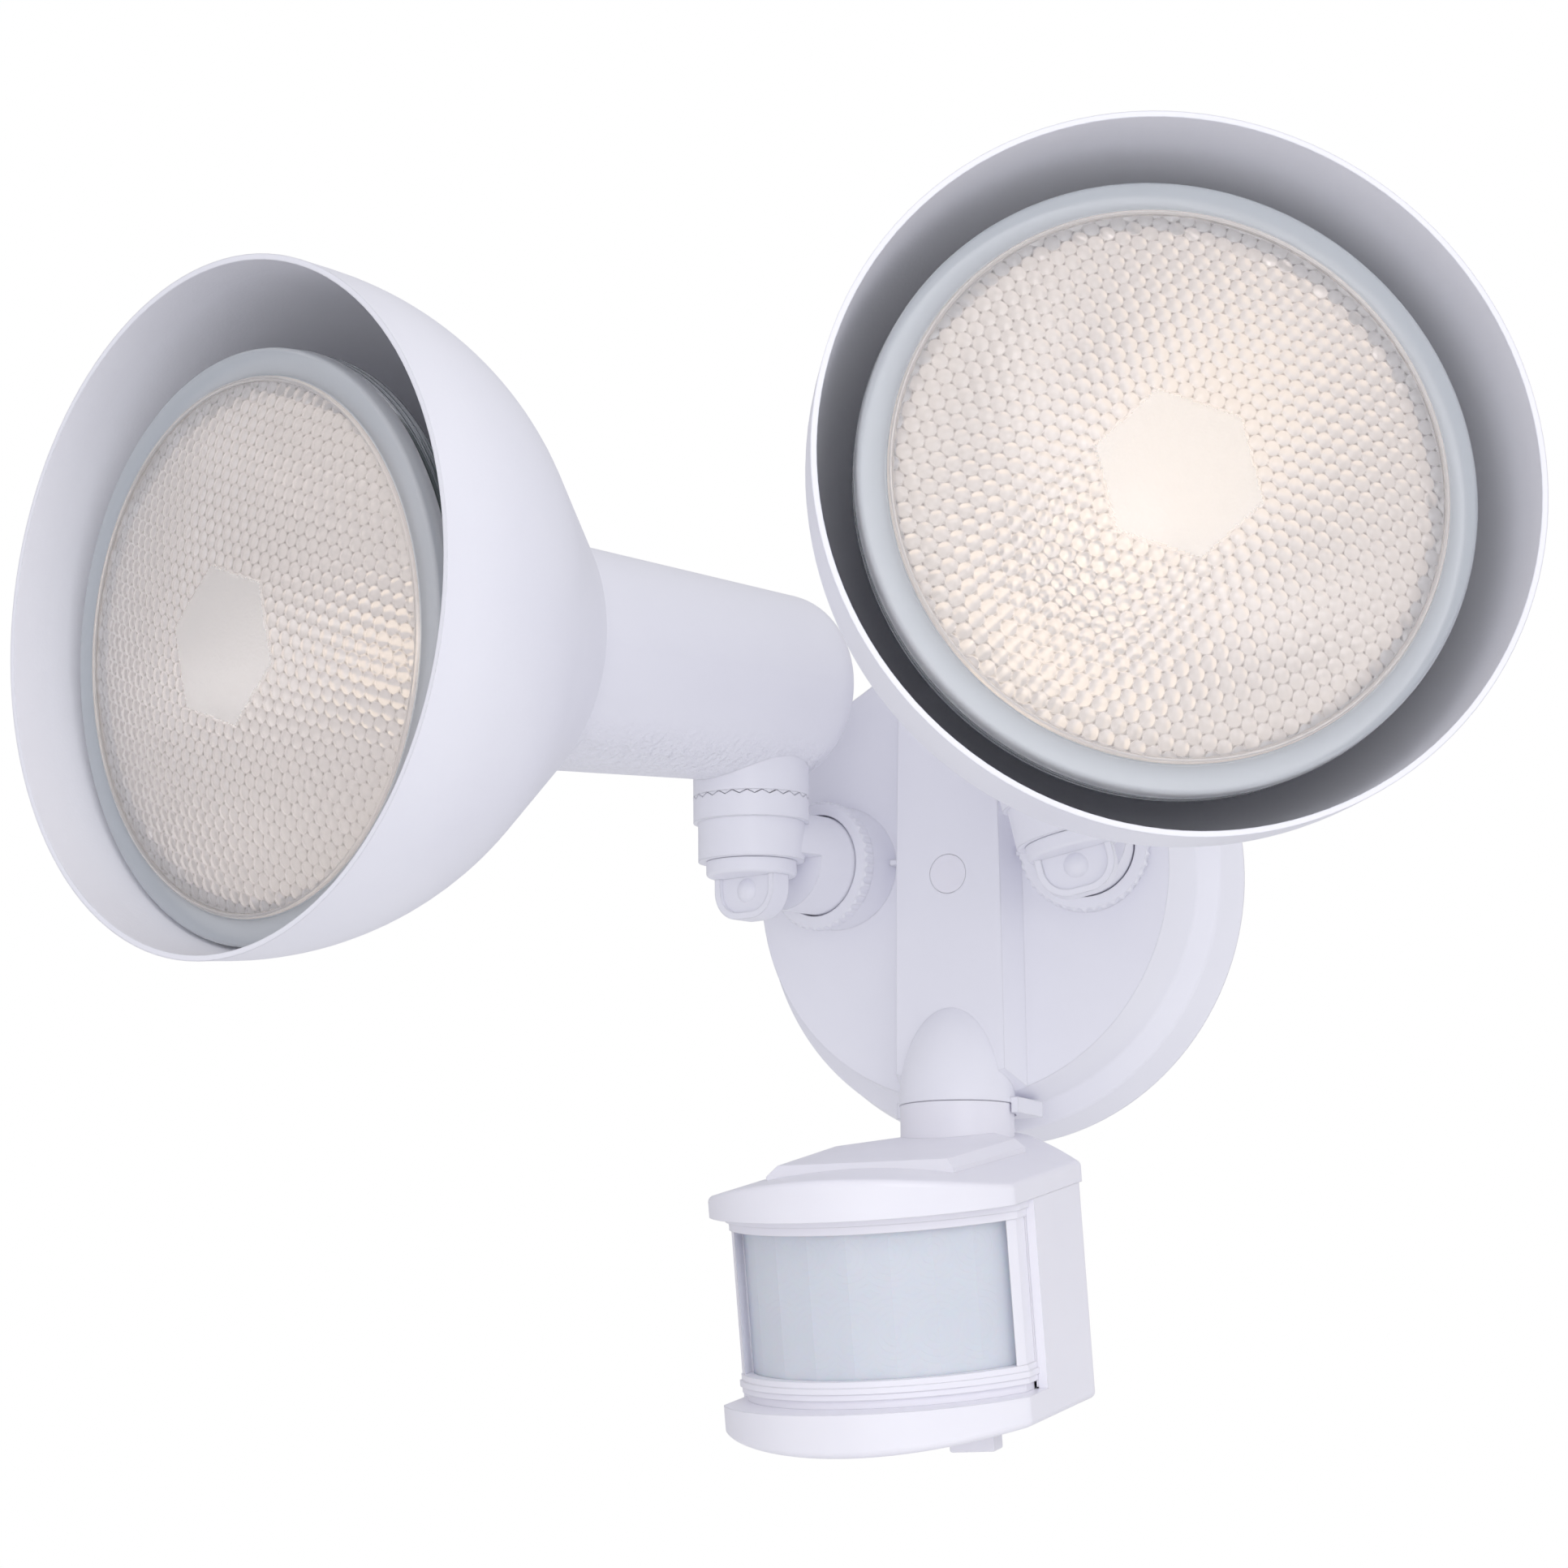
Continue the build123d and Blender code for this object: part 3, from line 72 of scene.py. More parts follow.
def linear(hex_code: str) -> Colour:
    """Turn an sRGB hex colour into the linear colour that a shader socket takes.

    Args:
        hex_code: Six hex digits after a hash, as picked on a screen.

    Returns:
        Linear red, green, blue and an alpha of 1.
    """
    channels = [int(hex_code[i : i + 2], 16) / 255 for i in (1, 3, 5)]
    lin = [c / 12.92 if c <= 0.04045 else ((c + 0.055) / 1.055) ** 2.4 for c in channels]
    return lin[0], lin[1], lin[2], 1.0


class Slot(str, Enum):
    """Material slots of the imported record."""

    ENAMEL = "white_enamel"
    PLASTIC = "white_plastic"
    SHEET = "lens_sheet"
    GLASS = "clear_glass"
    SILVER = "silvered_glass"
    ZINC = "zinc_steel"
    BRASS = "brass_screw"
    NICKEL = "nickel_brass"
    PORCELAIN = "porcelain"
    RUBBER = "seal_rubber"
    SILICONE = "silicone"
    BOARD = "circuit_green"
    BLACK = "black_plastic"
    QUARTZ = "quartz"
    GREEN = "green_screw"


class Side(str, Enum):
    """The two lamps, named as the viewer in front of the wall sees them."""

    LEFT = "left"
    RIGHT = "right"


# --------------------------------------------------------------------------- shading
def add_node(
    tree: bpy.types.NodeTree, kind: str, sockets: Mapping[Any, Any], **settings: Any
) -> bpy.types.Node:
    """Add a node of any kind with its settings and links.

    Args:
        tree: The tree that takes it.
        kind: Node type without its ShaderNode prefix.
        sockets: Input name or index to another node's output, or to a plain value.
        settings: Properties of the node itself.

    Returns:
        The new node.
    """
    node = tree.nodes.new("ShaderNode" + kind)
    for key, value in settings.items():
        setattr(node, key, value)
    for key, value in sockets.items():
        if isinstance(value, bpy.types.NodeSocket):
            tree.links.new(value, node.inputs[key])
        else:
            node.inputs[key].default_value = value
    return node


class ShaderTree:
    """A new material and its node tree."""

    def __init__(self, name: str) -> None:
        """Start an empty tree.

        Args:
            name: Name of the material.
        """
        self.material = bpy.data.materials.new(name)
        self.material.use_nodes = True
        self.tree = self.material.node_tree
        self.tree.nodes.clear()
        self.output = self.add("OutputMaterial", {})

    def add(self, kind: str, sockets: Mapping[Any, Any], **settings: Any) -> bpy.types.Node:
        """Add a node to this tree, as add_node does."""
        return add_node(self.tree, kind, sockets, **settings)

    def place(self) -> bpy.types.NodeSocket:
        """Give the surface point in metres, in the piece's own axes."""
        return self.add("TexCoord", {}).outputs["Object"]

    def noise(self, size_mm: float, detail: float = 2.0) -> bpy.types.NodeSocket:
        """Add a noise pattern.

        Args:
            size_mm: Size of its grains.
            detail: Octaves of finer grain.

        Returns:
            The pattern's value, 0 to 1.
        """
        scale = 1 / (size_mm * MM)
        node = self.add("TexNoise", {"Vector": self.place(), "Scale": scale, "Detail": detail})
        return node.outputs["Fac"]

    def bump(
        self,
        height: bpy.types.NodeSocket,
        depth_mm: float,
        normal: bpy.types.NodeSocket | None = None,
    ) -> bpy.types.NodeSocket:
        """Add a bump of a real depth.

        Args:
            height: Pattern from 0 to 1.
            depth_mm: Height of the relief.
            normal: Normal to build on.

        Returns:
            The bumped normal.
        """
        sockets: dict[Any, Any] = {"Strength": 1.0, "Distance": depth_mm * MM, "Height": height}
        if normal is not None:
            sockets["Normal"] = normal
        return self.add("Bump", sockets).outputs["Normal"]

    def range(
        self, value: bpy.types.NodeSocket, low: float, high: float
    ) -> bpy.types.NodeSocket:
        """Map a 0 to 1 pattern onto another range.

        Args:
            value: The pattern.
            low: Result at 0.
            high: Result at 1.

        Returns:
            The mapped value.
        """
        return self.add("MapRange", {"Value": value, "To Min": low, "To Max": high}).outputs["Result"]

    def blend(
        self, share: bpy.types.NodeSocket, first: Colour, second: Colour
    ) -> bpy.types.NodeSocket:
        """Mix two colours by a pattern.

        Args:
            share: Pattern from 0 to 1.
            first: Colour at 0.
            second: Colour at 1.

        Returns:
            The mixed colour.
        """
        node = self.add("Mix", {0: share, 6: first, 7: second}, data_type="RGBA")
        return node.outputs[2]

    def rounded(self, radius_mm: float) -> bpy.types.NodeSocket:
        """Give a normal that looks softened along sharp edges.

        Args:
            radius_mm: Radius of the softening.

        Returns:
            The softened normal.
        """
        return self.add("Bevel", {"Radius": radius_mm * MM}, samples=4).outputs["Normal"]

    def finish(self, shader: bpy.types.NodeSocket) -> bpy.types.Material:
        """Connect the surface and hand the material over.

        Args:
            shader: The surface's closure.

        Returns:
            The finished material.
        """
        self.tree.links.new(shader, self.output.inputs["Surface"])
        return self.material


@dataclass(frozen=True)
class Enamel:
    """Satin white powder coat over cast or spun metal: soft gleam, fine orange-peel skin."""

    name: str = "satin_powder_coat"
    light: str = "#F3F3F8"
    shade: str = "#EEEEF4"
    roughness: float = 0.38
    peel_mm: float = 1.6
    peel_depth_mm: float = 0.012
    grain_mm: float = 0.5
    grain_depth_mm: float = 0.006
    edge_mm: float = 0.45
    cloud_mm: float = 22.0
    spread: float = 0.03

    def skin(self, t: ShaderTree) -> bpy.types.NodeSocket:
        """Give the normal of the coat's skin.

        Args:
            t: The tree that the nodes go into.

        Returns:
            Edges softened by the coat, its peel and its grain.
        """
        edge = t.rounded(self.edge_mm)
        peel = t.bump(t.noise(self.peel_mm), self.peel_depth_mm, edge)
        return t.bump(t.noise(self.grain_mm, 1.0), self.grain_depth_mm, peel)

    def material(self) -> bpy.types.Material:
        """Build the material.

        Returns:
            The finished material.
        """
        t = ShaderTree(self.name)
        cloud = t.noise(self.cloud_mm)
        surface = t.add("BsdfPrincipled", {
            "Base Color": t.blend(cloud, linear(self.light), linear(self.shade)),
            "Roughness": t.range(
                cloud, self.roughness - self.spread, self.roughness + self.spread
            ),
            "Normal": self.skin(t),
        })
        return t.finish(surface.outputs[0])


@dataclass(frozen=True)
class StippledEnamel(Enamel):
    """The shades' thicker powder coat: a fine sandy grain that shows where light grazes it."""

    name: str = "stippled_powder_coat"
    grain_mm: float = 0.7
    grain_depth_mm: float = 0.03


@dataclass(frozen=True)
class CastEnamel(Enamel):
    """Powder coat over a raw sand-cast underside: lumpy below, smooth on top."""

    name: str = "cast_powder_coat"
    lump_mm: float = 1.8
    lump_depth_mm: float = 1.1
    lumps_start: float = -0.60
    lumps_full: float = -0.84

    def skin(self, t: ShaderTree) -> bpy.types.NodeSocket:
        """Give the normal of the coat's skin, with cast lumps where the surface faces down.

        Args:
            t: The tree that the nodes go into.

        Returns:
            The coat's normal with the lumps added below.
        """
        faces = t.add("TexCoord", {}).outputs["Normal"]
        down = t.add("SeparateXYZ", {"Vector": faces}).outputs["Z"]
        mask = t.add("MapRange", {
            "Value": down, "From Min": self.lumps_start, "From Max": self.lumps_full,
        }).outputs["Result"]
        lumps = t.add("Math", {0: t.noise(self.lump_mm, 3.0), 1: mask}, operation="MULTIPLY")
        return t.bump(lumps.outputs[0], self.lump_depth_mm, super().skin(t))


@dataclass(frozen=True)
class Plastic:
    """Injection-moulded plastic: even satin skin, light that sinks in a little."""

    name: str
    light: str
    shade: str
    roughness: float = 0.34
    depth_mm: float = 0.8
    sink: float = 0.08
    skin_mm: float = 0.5
    skin_depth_mm: float = 0.004
    edge_mm: float = 0.35
    cloud_mm: float = 16.0
    spread: float = 0.03

    def material(self) -> bpy.types.Material:
        """Build the material.

        Returns:
            The finished material.
        """
        t = ShaderTree(self.name)
        skin = t.bump(t.noise(self.skin_mm, 1.0), self.skin_depth_mm, t.rounded(self.edge_mm))
        cloud = t.noise(self.cloud_mm)
        surface = t.add("BsdfPrincipled", {
            "Base Color": t.blend(cloud, linear(self.light), linear(self.shade)),
            "Roughness": t.range(
                cloud, self.roughness - self.spread, self.roughness + self.spread
            ),
            "Subsurface Weight": self.sink,
            "Subsurface Radius": (1.0, 0.9, 0.8),
            "Subsurface Scale": self.depth_mm * MM,
            "Normal": skin,
        })
        return t.finish(surface.outputs[0])


@dataclass(frozen=True)
class MilkySheet:
    """Milky polyethylene sheet of the sensor: pale blue-grey with faint rings pressed inside."""

    name: str = "milky_polyethylene_sheet"
    tone: str = "#E9ECF2"
    deep: str = "#DEE3EB"
    roughness: float = 0.44
    through: float = 0.14
    cell_mm: tuple[float, float] = (9.0, 16.0)
    ring_mm: float = 1.4
    ring_depth_mm: float = 0.02
    cloud_mm: float = 14.0
    sink: float = 0.2
    sink_mm: float = 1.5

    def material(self) -> bpy.types.Material:
        """Build the material.

        Returns:
            The finished material.
        """
        t = ShaderTree(self.name)
        uv = t.add("TexCoord", {}).outputs["UV"]
        wide, tall = (size * MM / 2 for size in self.cell_mm)
        cell = t.add("VectorMath", {0: uv, 1: (wide, tall, 1.0), 2: (-wide, -tall, -1.0)},
                     operation="WRAP")
        waves_per_metre = 1 / (self.ring_mm * MM)
        rings = t.add(
            "TexWave",
            {"Vector": cell.outputs[0], "Scale": waves_per_metre / WAVES_PER_UNIT, "Distortion": 0.0},
            wave_type="RINGS", rings_direction="Z", wave_profile="SAW",
        )
        cloud = t.noise(self.cloud_mm)
        surface = t.add("BsdfPrincipled", {
            "Base Color": t.blend(cloud, linear(self.tone), linear(self.deep)),
            "Roughness": self.roughness,
            "Transmission Weight": self.through,
            "Subsurface Weight": self.sink,
            "Subsurface Scale": self.sink_mm * MM,
            "Normal": t.bump(rings.outputs["Fac"], self.ring_depth_mm),
        })
        return t.finish(surface.outputs[0])


@dataclass(frozen=True)
class PressedGlass:
    """Pressed lamp glass: clear, with a warm haze and painted shade in the seams of its relief."""

    name: str = "pressed_borosilicate_glass"
    tint: str = "#F7F3F1"
    # painted shade: a dark tone laid into the seams between the pillows
    seam_shade: str = "#7E7A79"
    roughness: float = 0.06
    ior: float = 1.48
    clear: float = 0.72
    ripple_mm: float = 4.0
    ripple_depth_mm: float = 0.02
    seam_shade_width: float = 0.45
    glow: str = "#FFF0E6"
    glow_strength: float = 0.03

    def material(self) -> bpy.types.Material:
        """Build the material.

        Returns:
            The finished material.
        """
        t = ShaderTree(self.name)
        relief = t.add("Attribute", {}, attribute_name=RELIEF).outputs["Fac"]
        middle = t.add("MapRange", {"Value": relief, "From Max": self.seam_shade_width},
                       interpolation_type="SMOOTHSTEP").outputs["Result"]
        surface = t.add("BsdfPrincipled", {
            "Base Color": t.blend(middle, linear(self.seam_shade), linear(self.tint)),
            "Roughness": self.roughness,
            "IOR": self.ior,
            "Transmission Weight": self.clear,
            "Emission Color": linear(self.glow),
            "Emission Strength": self.glow_strength,
            "Normal": t.bump(t.noise(self.ripple_mm), self.ripple_depth_mm),
        })
        return t.finish(surface.outputs[0])


@dataclass(frozen=True)
class StippledGlass(PressedGlass):
    """Frosted middle of the lens: fine stipple that spreads the light."""

    name: str = "stippled_lens_glass"
    tint: str = "#F3F3F3"
    seam_shade: str = "#F3F3F3"
    roughness: float = 0.34
    clear: float = 0.7
    ripple_mm: float = 0.7
    ripple_depth_mm: float = 0.12


@dataclass(frozen=True)
class FlangeGlass(PressedGlass):
    """Flat ring round the lens, fused to the body: pale blue-grey, half clear, satin."""

    name: str = "fused_flange_glass"
    tint: str = "#D3D9DF"
    seam_shade: str = "#D3D9DF"
    roughness: float = 0.34
    clear: float = 0.42
    glow_strength: float = 0.0


@dataclass(frozen=True)
class SeamGlass(PressedGlass):
    """Side of the fused seam, seen edge on: grey-green like the edge of window glass, painted dark as
    shade of the narrow gap round it.
    """

    name: str = "glass_seam_edge"
    # partly painted shade: the green tint of edge-on glass, made dark for the gap between lamp and
    # shade
    tint: str = "#566364"
    seam_shade: str = "#566364"
    roughness: float = 0.12
    clear: float = 0.5
    glow_strength: float = 0.0


@dataclass(frozen=True)
class Silvering:
    """Aluminium film on pressed glass: a slightly hazy mirror, given a faint glow of its own."""

    name: str = "vacuum_aluminised_glass"
    tone: str = "#F6F5F3"
    roughness: float = 0.16
    ripple_mm: float = 9.0
    ripple_depth_mm: float = 0.05
    glow: str = "#FFFAF5"
    glow_strength: float = 0.075

    def material(self) -> bpy.types.Material:
        """Build the material.

        Returns:
            The finished material.
        """
        t = ShaderTree(self.name)
        surface = t.add("BsdfPrincipled", {
            "Base Color": linear(self.tone),
            "Metallic": 1.0,
            "Roughness": self.roughness,
            "Emission Color": linear(self.glow),
            "Emission Strength": self.glow_strength,
            "Normal": t.bump(t.noise(self.ripple_mm), self.ripple_depth_mm),
        })
        return t.finish(surface.outputs[0])


@dataclass(frozen=True)
class ShadedReflectorBack(Silvering):
    """Back of the reflector: the mirror film, dull and painted darker as shade of the dim space
    inside the lamp head.
    """

    name: str = "reflector_back_painted_shade"
    # painted shade: a darker grey than the film
    tone: str = "#9A9DA2"
    roughness: float = 0.38
    glow_strength: float = 0.0


@dataclass(frozen=True)
class Metal:
    """Small metal part: plated or bare, lightly scuffed."""

    name: str
    tone: str
    worn: str
    roughness: float = 0.3
    scuff_mm: float = 1.5
    scuff_depth_mm: float = 0.01
    polished: float = 0.08
    scuffed: float = 0.12

    def material(self) -> bpy.types.Material:
        """Build the material.

        Returns:
            The finished material.
        """
        t = ShaderTree(self.name)
        scuff = t.noise(self.scuff_mm, 4.0)
        surface = t.add("BsdfPrincipled", {
            "Base Color": t.blend(scuff, linear(self.tone), linear(self.worn)),
            "Metallic": 1.0,
            "Roughness": t.range(
                scuff, self.roughness - self.polished, self.roughness + self.scuffed
            ),
            "Normal": t.bump(scuff, self.scuff_depth_mm),
        })
        return t.finish(surface.outputs[0])


@dataclass(frozen=True)
class Glaze:
    """Glazed porcelain: off-white body under a glossy clear glaze."""

    name: str = "glazed_porcelain"
    light: str = "#EFEDE6"
    shade: str = "#E3E0D6"
    cloud_mm: float = 6.0
    wave_depth_mm: float = 0.03
    roughness: float = 0.25
    coat: float = 0.6
    coat_roughness: float = 0.06

    def material(self) -> bpy.types.Material:
        """Build the material.

        Returns:
            The finished material.
        """
        t = ShaderTree(self.name)
        cloud = t.noise(self.cloud_mm)
        surface = t.add("BsdfPrincipled", {
            "Base Color": t.blend(cloud, linear(self.light), linear(self.shade)),
            "Roughness": self.roughness,
            "Coat Weight": self.coat,
            "Coat Roughness": self.coat_roughness,
            "Normal": t.bump(cloud, self.wave_depth_mm),
        })
        return t.finish(surface.outputs[0])


@dataclass(frozen=True)
class Quartz:
    """Quartz burner tube that glows with the filament inside it."""

    name: str = "glowing_quartz_burner"
    glow: str = "#FFEBCF"
    strength: float = 0.7
    patch_mm: float = 3.0
    uneven: float = 0.2
    roughness: float = 0.1

    def material(self) -> bpy.types.Material:
        """Build the material.

        Returns:
            The finished material.
        """
        t = ShaderTree(self.name)
        patch = t.noise(self.patch_mm)
        surface = t.add("BsdfPrincipled", {
            "Base Color": linear("#FFFFFF"),
            "Roughness": self.roughness,
            "Emission Color": linear(self.glow),
            "Emission Strength": t.range(
                patch, self.strength * (1 - self.uneven), self.strength * (1 + self.uneven)
            ),
        })
        return t.finish(surface.outputs[0])


class Finish(Protocol):
    """What every finish has: a name and a way to build its material."""

    name: str

    def material(self) -> bpy.types.Material:
        """Build the material."""
        ...


NODE_FINISHES: Mapping[str, Finish] = {
    "left_shade": StippledEnamel(),
    "right_shade": StippledEnamel(),
    "left_lampholder": CastEnamel(),
    "right_lampholder": CastEnamel(),
}
FINISHES: Mapping[Slot, Finish] = {
    Slot.ENAMEL: Enamel(),
    Slot.PLASTIC: Plastic("white_polycarbonate_mould", "#F4F3F8", "#EFEEF4"),
    Slot.SHEET: MilkySheet(),
    Slot.GLASS: PressedGlass(),
    Slot.SILVER: Silvering(),
    Slot.ZINC: Metal("zinc_plated_steel", "#C9CACC", "#A9ABAE"),
    Slot.BRASS: Metal("turned_brass", "#C9A55C", "#A98442"),
    Slot.NICKEL: Metal("nickel_plated_brass", "#CFCBC2", "#B3AEA2", roughness=0.22),
    Slot.PORCELAIN: Glaze(),
    Slot.RUBBER: Plastic("moulded_black_rubber", "#2A2A2C", "#1F1F21", roughness=0.7, sink=0.0),
    Slot.SILICONE: Plastic("grey_silicone_rubber", "#B4B4B6", "#A2A2A6", roughness=0.55, sink=0.1),
    Slot.BOARD: Plastic("solder_masked_board", "#1F6A3C", "#185733", roughness=0.3, sink=0.0),
    Slot.BLACK: Plastic("moulded_black_plastic", "#1B1B1D", "#131315", roughness=0.4, sink=0.0),
    Slot.QUARTZ: Quartz(),
    Slot.GREEN: Metal("green_dyed_steel", "#2F8A4A", "#22703A"),
}


class Workshop:
    """Makes each material once and hands it out."""

    def __init__(self) -> None:
        """Start with nothing made."""
        self.made: dict[str, bpy.types.Material] = {}

    def material(self, finish: Finish) -> bpy.types.Material:
        """Give the material of a finish.

        Args:
            finish: The finish wanted.

        Returns:
            The material, made on first use.
        """
        if finish.name not in self.made:
            self.made[finish.name] = finish.material()
        return self.made[finish.name]


# --------------------------------------------------------------------------- placing
@dataclass(frozen=True)
class Pose:
    """How one lamp stands at rest; the sizes match the CAD source."""

    hand: int
    swivel_deg: float
    pan_deg: float
    lean_deg: float
    lean_towards_deg: float
    hub_mm: tuple[float, float] = (23.3, 4.0)
    splay_deg: float = 15.0
    reach_mm: float = 52.9
    lift_mm: float = 37.0
    lamp_pivot_mm: float = 14.0
    contact_mm: float = 6.5

    def arm_axes(self) -> tuple[Vector, Vector, Vector]:
        """Work out where the arm starts and which way it points.

        Returns:
            The hub's place on the wall, the arm's direction and the knuckle's axis.
        """
        splay, turn = math.radians(self.splay_deg), math.radians(self.swivel_deg)
        out = Vector((self.hand * math.sin(splay), -math.cos(splay), 0))
        across = Vector((math.cos(splay), self.hand * math.sin(splay), 0))
        knuckle = Vector((0, 0, 1)) * math.cos(turn) + across * math.sin(turn)
        return Vector((self.hand * self.hub_mm[0], 0, self.hub_mm[1])) * MM, out, knuckle

    def arm(self) -> Matrix:
        """Give the frame at the knuckle: Z along the arm, Y along the knuckle's axis."""
        origin, out, knuckle = self.arm_axes()
        return frame_matrix(origin + out * self.reach_mm * MM, knuckle.cross(out), out)

    def head(self) -> Matrix:
        """Make the frame on the lamp's axis above the knuckle.

        Returns:
            The frame's matrix: Z towards the lens.
        """
        origin, out, knuckle = self.arm_axes()
        pan = math.radians(self.pan_deg)
        sideways = out.cross(knuckle)
        if sideways.x < 0:
            sideways = -sideways
        aim = out * math.cos(pan) + sideways * math.sin(pan)
        centre = origin + (out * self.reach_mm + knuckle * self.lift_mm) * MM
        return frame_matrix(centre, knuckle.cross(aim), aim)

    def lamp(self) -> Matrix:
        """Make the lamp's own frame, leaning in its socket as the lamp does.

        Returns:
            The frame's matrix: the base contact at its origin, Z towards the lens.
        """
        towards, lean = math.radians(self.lean_towards_deg), math.radians(self.lean_deg)
        turn = Matrix.Rotation(towards, 4, "Z") @ Matrix.Rotation(lean, 4, "X")
        turn = turn @ Matrix.Rotation(-towards, 4, "Z")
        pivot = Matrix.Translation((0, 0, self.lamp_pivot_mm * MM))
        back = Matrix.Translation((0, 0, (self.contact_mm - self.lamp_pivot_mm) * MM))
        return self.head() @ pivot @ turn @ back


def frame_matrix(origin: Vector, x_axis: Vector, z_axis: Vector) -> Matrix:
    """Make the matrix of a frame.

    Args:
        origin: Its origin.
        x_axis: Direction of its X axis.
        z_axis: Direction of its Z axis.

    Returns:
        The matrix from the frame to the row's axes.
    """
    x, z = x_axis.normalized(), z_axis.normalized()
    y = z.cross(x)
    m = Matrix((x, y, z)).transposed().to_4x4()
    m.translation = origin
    return m


def mesh_piece(
    name: str, points: Any, faces: Sequence[Sequence[int]], place: Matrix, smooth: bool = True
) -> bpy.types.Object:
    """Make a piece from points and faces.

    Args:
        name: Name of the piece.
        points: Points in millimetres, in the piece's frame.
        faces: Corner numbers of each face.
        place: The frame's matrix.
        smooth: Whether its faces are shaded as one curved skin.

    Returns:
        The new object.
    """
    mesh = bpy.data.meshes.new(name)
    mesh.from_pydata((np.asarray(points, float) * MM).tolist(), [], faces)
    mesh.transform(place)
    mesh.polygons.foreach_set("use_smooth", [smooth] * len(mesh.polygons))
    mesh.update()
    piece = bpy.data.objects.new(name, mesh)
    bpy.context.scene.collection.objects.link(piece)
    LOG.info("piece %s: %d points", name, len(mesh.vertices))
    return piece


def turned_piece(
    name: str, rows: Sequence[Point], place: Matrix, around: int
) -> bpy.types.Object:
    """Turn a closed outline about the Z axis.

    Args:
        name: Name of the piece.
        rows: Radius, height and material number of each point, round the outline.
        place: The frame's matrix.
        around: Number of points round the axis.

    Returns:
        The closed ring; the face after a point takes that point's material number.
    """
    rings = np.array(rows)
    turn = np.linspace(0, math.tau, around, endpoint=False)
    x = rings[:, :1] * np.cos(turn)
    y = rings[:, :1] * np.sin(turn)
    z = np.repeat(rings[:, 1:2], around, axis=1)
    points = np.stack([x, y, z], axis=-1).reshape(-1, 3)
    i = np.arange(len(rings))[:, None]
    j = np.arange(around)[None, :]
    here, ahead = i * around, (i + 1) % len(rings) * around
    k = (j + 1) % around
    faces = np.stack([here + j, here + k, ahead + k, ahead + j], axis=-1).reshape(-1, 4)
    piece = mesh_piece(name, points, faces.tolist(), place)
    numbers = np.repeat(rings[:, 2].astype(int), around)
    piece.data.polygons.foreach_set("material_index", numbers.tolist())
    return piece


